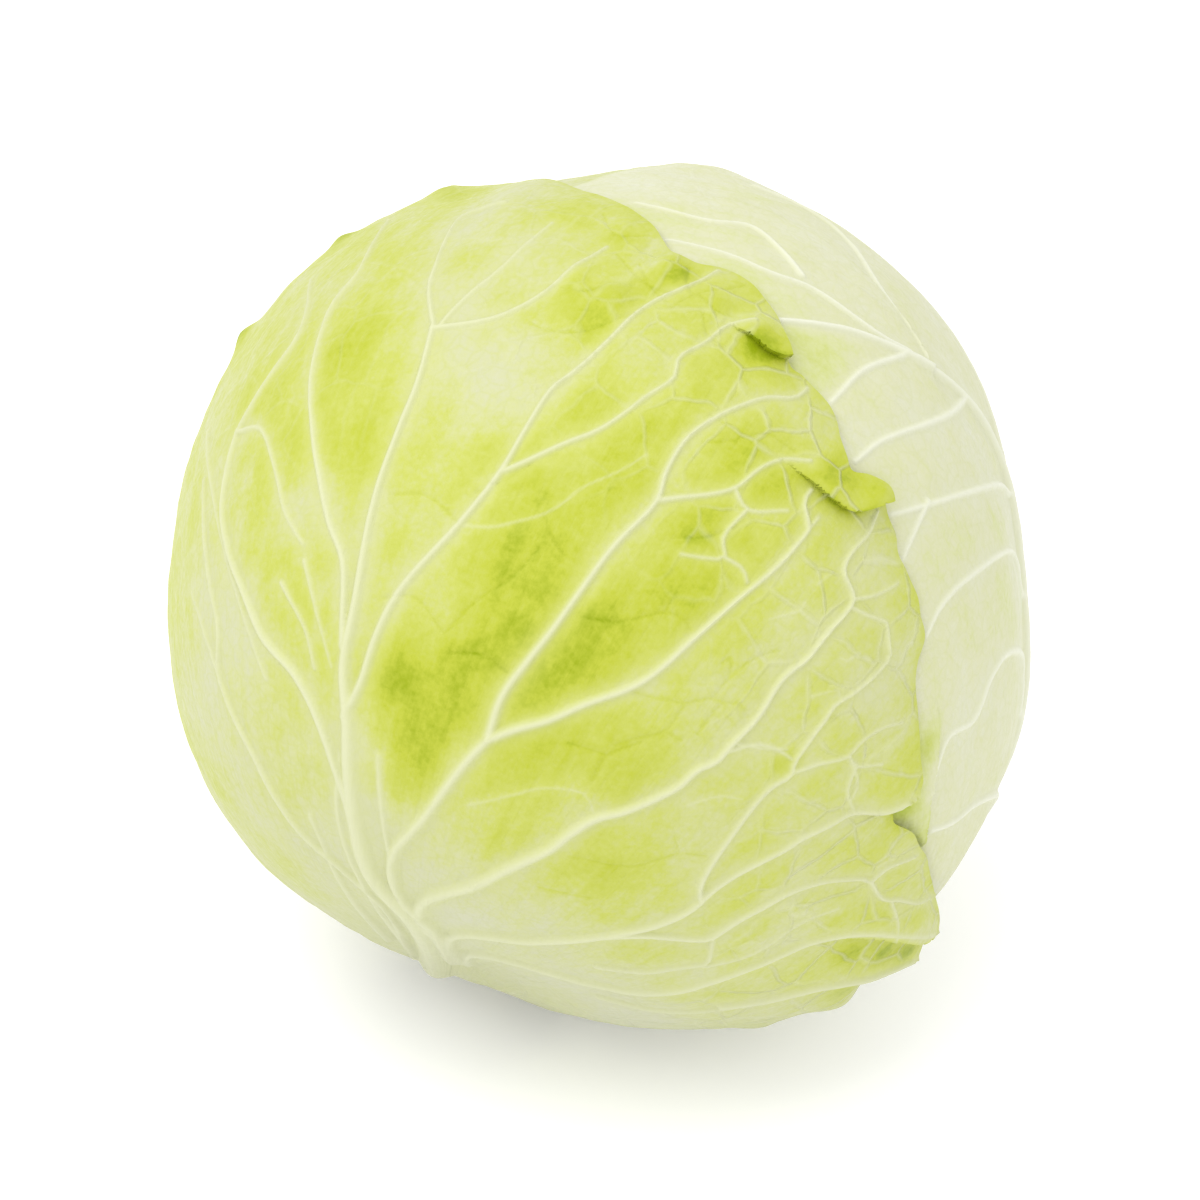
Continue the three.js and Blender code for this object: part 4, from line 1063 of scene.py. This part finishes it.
class LeafOperator:
    """What the leaf operators share."""

    bl_options = {"REGISTER", "UNDO"}
    names = ()
    slot = ""
    look = ""

    def execute(self, context):
        settings = context.scene.cabbage
        material = leaf_material(self.slot, getattr(settings, self.look))
        for layer, leaf in enumerate(LEAVES):
            if leaf.node in self.names:
                make_leaf(leaf, layer, settings, material)
        return {"FINISHED"}


class CABBAGE_OT_outer_leaves(LeafOperator, bpy.types.Operator):
    """Adds the green outer leaves, at the front and on the left"""

    bl_idname = "cabbage.outer_leaves"
    bl_label = "Outer leaves"
    names = ("leaf_front", "leaf_left")
    slot = "leaf_outer"
    look = "outer"


class CABBAGE_OT_inner_leaves(LeafOperator, bpy.types.Operator):
    """Adds the paler leaves under them, on the right and at the back"""

    bl_idname = "cabbage.inner_leaves"
    bl_label = "Inner leaves"
    names = ("leaf_right", "leaf_back")
    slot = "leaf_inner"
    look = "inner"


class CABBAGE_OT_heart(bpy.types.Operator):
    """Gives the heart its smooth pale flesh"""

    bl_idname = "cabbage.heart"
    bl_label = "Heart"
    bl_options = {"REGISTER", "UNDO"}

    def execute(self, context):
        settings = context.scene.cabbage
        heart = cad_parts["heart"]
        material = flesh_material("heart_leaves", settings.heart_colour, HEART_SHADE, 0.45, 16.67)
        heart.data.materials.clear()
        heart.data.materials.append(material)
        return {"FINISHED"}


class CABBAGE_OT_stem(bpy.types.Operator):
    """Gives the cut stem its fibrous flesh"""

    bl_idname = "cabbage.stem"
    bl_label = "Stem"
    bl_options = {"REGISTER", "UNDO"}

    def execute(self, context):
        settings = context.scene.cabbage
        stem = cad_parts["stem"]
        material = flesh_material("stem_flesh", settings.stem_colour, STEM_SHADE, 0.6, 2.5)
        stem.data.materials.clear()
        stem.data.materials.append(material)
        return {"FINISHED"}


# The stage: place and size in metres and power in watts of the lights, and what is around them
KEY_LIGHT = ((-0.55, -0.35, 1.5), 1.4, 13.5)
FILL_LIGHT = ((0.9, -1.1, 0.9), 1.2, 2.2)
SKY_STRENGTH = 1.12
FLOOR_SIZE = 12
# The floor's glow is painted light: it lifts the shadows on the floor
FLOOR_PAINTED_LIGHT = 0.15
SENSOR_WIDTH = 36
PICTURE_SHIFT = 2 / 1200


def floor_material(colour):
    """White matt table that glows a little, though it is no lamp: painted light that lifts the shadows on it.
    """
    material, tree = empty_material("floor_paint")
    finish_material(tree, {
        "Base Color": (*colour, 1),
        "Roughness": 0.9,
        "Emission Color": (1, 1, 1, 1),
        "Emission Strength": FLOOR_PAINTED_LIGHT,
    })
    return material


def area_light(name, place, size, power):
    """A square soft light that faces the head."""
    bpy.ops.object.light_add(type="AREA", location=place)
    light = bpy.context.object
    light.name = name
    light.data.size = size
    light.data.energy = power
    light.rotation_euler = (Vector(CENTRE) - Vector(place)).to_track_quat("-Z", "Y").to_euler()


class CABBAGE_OT_stage(bpy.types.Operator):
    """Adds the pale floor, the soft light and the camera"""

    bl_idname = "cabbage.stage"
    bl_label = "Stage"
    bl_options = {"REGISTER", "UNDO"}

    def execute(self, context):
        settings = context.scene.cabbage
        bpy.ops.mesh.primitive_plane_add(size=FLOOR_SIZE)
        floor = context.object
        floor.name = "floor"
        floor.data.materials.append(floor_material(settings.floor_colour))
        area_light("key_light", *KEY_LIGHT)
        area_light("fill_light", *FILL_LIGHT)
        world = context.scene.world or bpy.data.worlds.new("World")
        context.scene.world = world
        world.use_nodes = True
        background = world.node_tree.nodes["Background"]
        background.inputs["Color"].default_value = (1, 1, 1, 1)
        background.inputs["Strength"].default_value = SKY_STRENGTH
        bpy.ops.object.camera_add(location=Vector(CENTRE) + settings.camera_distance * Vector(FRONT))
        camera = context.object
        camera.rotation_euler = ((90 - FRONT_ELEVATION) * DEG, 0, 0)
        camera.data.sensor_width = SENSOR_WIDTH
        camera.data.lens = settings.camera_lens
        camera.data.shift_x = PICTURE_SHIFT
        camera.data.shift_y = -PICTURE_SHIFT
        context.scene.camera = camera
        context.scene.view_settings.view_transform = "Standard"
        return {"FINISHED"}


class CABBAGE_PT_panel(bpy.types.Panel):
    """Lists the pieces and their settings"""

    bl_idname = "CABBAGE_PT_panel"
    bl_label = "Cabbage head"
    bl_space_type = "VIEW_3D"
    bl_region_type = "UI"
    bl_category = "Cabbage"

    def draw(self, context):
        settings = context.scene.cabbage
        for operator in OPERATORS:
            self.layout.operator(operator.bl_idname)
        for name in ("vein_height", "pucker", "heart_colour", "stem_colour", "floor_colour",
                     "camera_distance", "camera_lens"):
            self.layout.prop(settings, name)
        for look in (settings.outer, settings.inner):
            for name in CabbageLeafLook.__annotations__:
                self.layout.prop(look, name)


OPERATORS = [
    CABBAGE_OT_outer_leaves, CABBAGE_OT_inner_leaves, CABBAGE_OT_heart, CABBAGE_OT_stem, CABBAGE_OT_stage,
]
CLASSES = [CabbageLeafLook, CabbageSettings, *OPERATORS, CABBAGE_PT_panel]


def register():
    for item in CLASSES:
        bpy.utils.register_class(item)
    bpy.types.Scene.cabbage = bpy.props.PointerProperty(type=CabbageSettings)


def unregister():
    del bpy.types.Scene.cabbage
    for item in reversed(CLASSES):
        bpy.utils.unregister_class(item)


def main():
    register()
    inner = bpy.context.scene.cabbage.inner
    inner.deep, inner.rich, inner.light = linear("9ba933"), linear("b0b85e"), linear("bcc186")
    inner.soft, inner.pale, inner.glow = linear("c2c39f"), linear("c5c6ae"), linear("c3c59b")
    inner.vein = linear("d3d4c2")
    bpy.ops.cabbage.outer_leaves()
    bpy.ops.cabbage.inner_leaves()
    bpy.ops.cabbage.heart()
    bpy.ops.cabbage.stem()
    bpy.ops.cabbage.stage()


if __name__ == "__main__":
    main()
